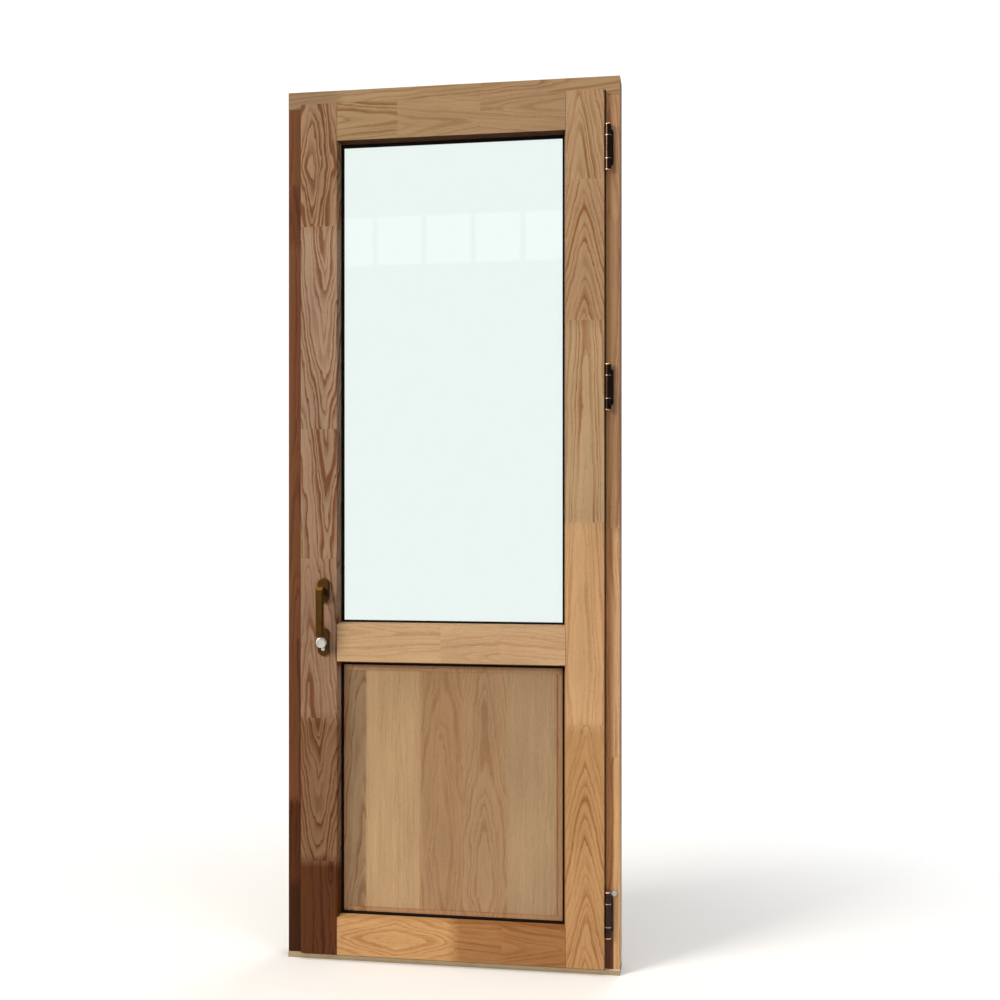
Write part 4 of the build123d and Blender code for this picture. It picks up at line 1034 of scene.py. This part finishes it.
@dataclass
class LockGear:
    """Lever, roses, thumb-turn, bolt, bars and keeps. Sizes are in millimetres."""

    faceplate_face: float = -399.0
    faceplate_line: float = 32.3
    faceplate_screws: tuple[float, ...] = (198.3, 703.3, 1253.7, 1703.2, 2167.8)
    keep_face: float = -408.0
    keep_line: float = 27.0
    keep_screws: tuple[float, ...] = (383.5, 457.5, 879.0, 943.0, 1813.3, 1887.3)
    recess_radius: float = 2.3
    recess_depth: float = 0.3
    recess_lobes: int = 6
    recess_pinch: float = 0.62
    recess_seed: int = 4

    def build(self) -> None:
        """Dresses the fittings and adds the screws' star recesses."""
        # Cast bronze, brushed and oiled: olive brown with broad soft highlights
        bronze = Metal("satin_olive_bronze", "#684921", "#533817", 0.46, (1.0, 1.0, 14.0)).material()
        for side in ("inner", "outer"):
            dress(bronze, f"{side}_lever", f"{side}_rose", f"{side}_escutcheon")
        # Nickel-plated brass, satin: bright warm white with fine turning marks
        nickel = Metal("satin_nickel", "#F6F6F5", "#E6E6E3", 0.44, (0.8, 0.8, 0.8)).material()
        dress(nickel, "thumbturn_knob", "lock_cylinder")
        # Stainless steel, brushed lengthwise: even grey with long fine lines
        steel = Metal("brushed_stainless_steel", "#BDBBB6", "#ABA9A4", 0.36, (0.7, 0.7, 40.0)).material()
        dress(steel, "lock_faceplate", "lower_keep", "upper_keep", "lock_keep", "deadbolt")
        # Zinc-plated steel with a passivated skin: dull grey with a faint yellow cast
        zinc = Metal("passivated_zinc_steel", "#B4B7B2", "#A2A59B", 0.38, (0.9, 0.9, 0.9)).material()
        dress(
            zinc, "faceplate_screws", "keep_screws", "lock_case", "lock_case_cover", "rose_bolts",
            "spindle", "follower", "cylinder_cam", "drive_bar", "locking_rollers",
        )
        self._recesses()

    def _recesses(self) -> None:
        """Marks the drive recess of each screw head as a star of painted shade, turned as the screw
        happened to stop.
        """
        tree, given = new_growth("screw_recesses", ("Radius", "Depth"))
        drum = put(tree, "GeometryNodeMeshCylinder", {
            "Vertices": 2 * self.recess_lobes, "Radius": given["Radius"], "Depth": given["Depth"],
        }, out="Mesh")
        number = put(tree, "GeometryNodeInputIndex")
        odd = put(tree, MATH, [number, 2.0], operation="MODULO")
        pinch = put(tree, MAP, [odd, 0.0, 1.0, 1.0, self.recess_pinch])
        place = put(tree, "GeometryNodeInputPosition")
        inward = put(tree, "ShaderNodeCombineXYZ", {"X": pinch, "Y": pinch, "Z": 1.0})
        pinched = put(tree, VECTOR, [place, inward], operation="MULTIPLY")
        star = put(tree, "GeometryNodeSetPosition", {"Geometry": drum, "Position": pinched})
        turned = put(tree, "GeometryNodeTransform", {"Geometry": star, "Rotation": (0.0, QUARTER, 0.0)})
        turn = (math.tau / self.recess_lobes, 0.0, 0.0)
        stop = put(
            tree, "FunctionNodeRandomValue", {0: (0.0, 0.0, 0.0), 1: turn, "Seed": self.recess_seed},
            data_type="FLOAT_VECTOR",
        )
        stars = put(tree, "GeometryNodeInstanceOnPoints", {
            "Points": given["Geometry"], "Instance": turned, "Rotation": stop,
        })
        # Painted shade of the recess: steel painted near black, with a dull edge
        end_growth(tree, stars, Metal("shaded_steel_recess", "#2B2B2A", "#1E1E1D", 0.5).material())
        sizes = {"Radius": self.recess_radius, "Depth": self.recess_depth}
        for body, name, face, line, heights in (
            (
                "leaf", "faceplate_screw_recesses",
                self.faceplate_face, self.faceplate_line, self.faceplate_screws,
            ),
            ("frame", "keep_screw_recesses", self.keep_face, self.keep_line, self.keep_screws),
        ):
            grow(name, tree, sizes, [(face, line, height) for height in heights], [], body)


@dataclass(frozen=True)
class Softbox:
    """A rectangular light: where it stands and looks, its size in metres, power in watts and colour."""

    place: Triple
    target: Triple
    size: tuple[float, float]
    power: float
    colour: str = "#FFFFFF"
    mirrored: bool = True

    def build(self, name: str) -> bpy.types.Object:
        """Adds the light, which is seen in metal and through glass only if it may be mirrored.

        Args:
            name: The light's name.

        Returns:
            The light.
        """
        data = bpy.data.lights.new(name, "AREA")
        data.shape = "RECTANGLE"
        data.size, data.size_y = self.size
        data.energy, data.color = self.power, linear(self.colour)[:3]
        light = bpy.data.objects.new(name, data)
        light.location = self.place
        aim = Vector(self.target) - Vector(self.place)
        light.rotation_euler = aim.to_track_quat("-Z", "Y").to_euler()
        light.visible_glossy = light.visible_transmission = self.mirrored
        bpy.context.scene.collection.objects.link(light)
        return light


@dataclass
class Studio:
    """Floor, light and camera. Lengths are in metres."""

    floor_reach: float = 6.0
    floor_drop: float = 0.0005
    floor_fade: tuple[float, float] = (0.7, 2.6)
    paper: str = "#F3F2EF"
    paper_rough: float = 0.9
    tooth_scale: float = 220.0
    tooth_detail: float = 2.0
    tooth_relief: float = 0.0003
    tooth_strength: float = 0.05
    eye: Triple = (0.6735, -3.383, 1.2339)
    turn_deg: float = 9.03
    lens_mm: float = 45.5
    sensor_mm: float = 36.0
    rise: float = 0.013
    white: float = 1.08
    ambient: float = 0.21
    aim: Triple = (0.0, 0.0, 1.15)
    panes: int = 5
    pane_start: Triple = (-1.42, -4.0, 2.876)
    pane_pitch: float = 0.30
    pane_size: tuple[float, float] = (0.27, 0.29)
    pane_power: float = 0.09
    pane_colour: str = "#F4FAFF"

    def build(self) -> None:
        """Adds the floor, the lights, the world and the camera."""
        self._floor()
        self._world()
        for name, softbox in {
            "key_softbox": Softbox((-5.6, -5.2, 4.9), self.aim, (3.2, 3.2), 725.0, "#FFF7EC"),
            "fill_softbox": Softbox(
                (3.4, -3.0, 1.8), self.aim, (2.2, 2.2), 66.0, "#FAF9FF", mirrored=False
            ),
            "back_softbox": Softbox((1.2, 3.4, 2.8), self.aim, (2.0, 2.0), 60.0, mirrored=False),
            "top_softbox": Softbox((0.2, -0.6, 5.2), (0.2, -0.6, 0.0), (3.0, 3.0), 115.0),
        }.items():
            softbox.build(name)
        self._panes()
        self._camera()
        bpy.context.scene.view_settings.view_transform = "Standard"
        LOG.info("studio ready")

    def _floor(self) -> None:
        """Adds a pale paper floor that fades out far from the door."""
        mesh = bpy.data.meshes.new("studio_floor")
        form = bmesh.new()
        bmesh.ops.create_grid(form, x_segments=1, y_segments=1, size=self.floor_reach)
        form.to_mesh(mesh)
        form.free()
        mesh.transform(Matrix.Translation((0.0, 0.0, -self.floor_drop)))
        floor = bpy.data.objects.new("studio_floor", mesh)
        bpy.context.scene.collection.objects.link(floor)
        # Matte background paper: even off-white with a faint tooth, drawn coarser so that it shows
        material, tree, coords = new_material("pale_paper_floor")
        tooth = put(
            tree, NOISE, {"Vector": coords, "Scale": self.tooth_scale, "Detail": self.tooth_detail}
        )
        bump = put(
            tree, BUMP, {"Strength": self.tooth_strength, "Distance": self.tooth_relief, "Height": tooth}
        )
        paper = put(tree, SURFACE, {
            "Base Color": linear(self.paper), "Roughness": self.paper_rough, "Normal": bump,
        })
        far = put(tree, VECTOR, [coords], out="Value", operation="LENGTH")
        fade = put(tree, MAP, [far, *self.floor_fade], interpolation_type="SMOOTHSTEP")
        clear = put(tree, "ShaderNodeBsdfTransparent")
        mixed = put(tree, "ShaderNodeMixShader", [fade, paper, clear])
        put(tree, OUTPUT, [mixed])
        mesh.materials.append(material)

    def _world(self) -> None:
        """Adds white surroundings: full for the eye and through glass, softer as light and mirrored."""
        world = bpy.data.worlds.new("white_studio")
        bpy.context.scene.world = world
        world.use_nodes = True
        tree = world.node_tree
        tree.nodes.clear()
        path = put(tree, "ShaderNodeLightPath").node.outputs
        bounces = put(tree, MATH, [path["Diffuse Depth"], path["Glossy Depth"]], operation="ADD")
        power = put(tree, MAP, [bounces, 0.0, 1.0, self.white, self.ambient])
        light = put(tree, "ShaderNodeBackground", {"Color": linear("#FFFFFF"), "Strength": power})
        put(tree, "ShaderNodeOutputWorld", [light])

    def _panes(self) -> None:
        """Adds a faint row of window panes, which show in reflections and not through the glass."""
        x, y, z = self.pane_start
        for number in range(self.panes):
            place = (x + number * self.pane_pitch, y, z)
            target = (place[0], y + 1.0, z)
            pane = Softbox(place, target, self.pane_size, self.pane_power, self.pane_colour)
            light = pane.build(f"window_pane_{number}").data
            light.use_nodes = True
            tree = light.node_tree
            tree.nodes.clear()
            mirrored = put(tree, "ShaderNodeLightPath", out="Glossy Depth")
            share = put(tree, MATH, [mirrored, 1.0], operation="MINIMUM")
            glow = put(tree, "ShaderNodeEmission", {"Strength": share})
            put(tree, "ShaderNodeOutputLight", [glow])

    def _camera(self) -> None:
        """Adds the level camera, to the right of the door's middle and turned towards it."""
        data = bpy.data.cameras.new("studio_camera")
        data.lens, data.sensor_width, data.shift_y = self.lens_mm, self.sensor_mm, self.rise
        camera = bpy.data.objects.new("studio_camera", data)
        camera.location = self.eye
        camera.rotation_euler = (QUARTER, 0.0, math.radians(self.turn_deg))
        bpy.context.scene.collection.objects.link(camera)
        bpy.context.scene.camera = camera


def main() -> None:
    """Builds the door's sub-assemblies in order, then the studio."""
    logging.basicConfig(level=logging.INFO, format="%(name)s: %(message)s")
    for part in (DoorFrame(), Leaf(), Hinges(), LockGear(), Studio()):
        part.build()
        LOG.info("%s done", type(part).__name__)


if __name__ == "__main__":
    main()
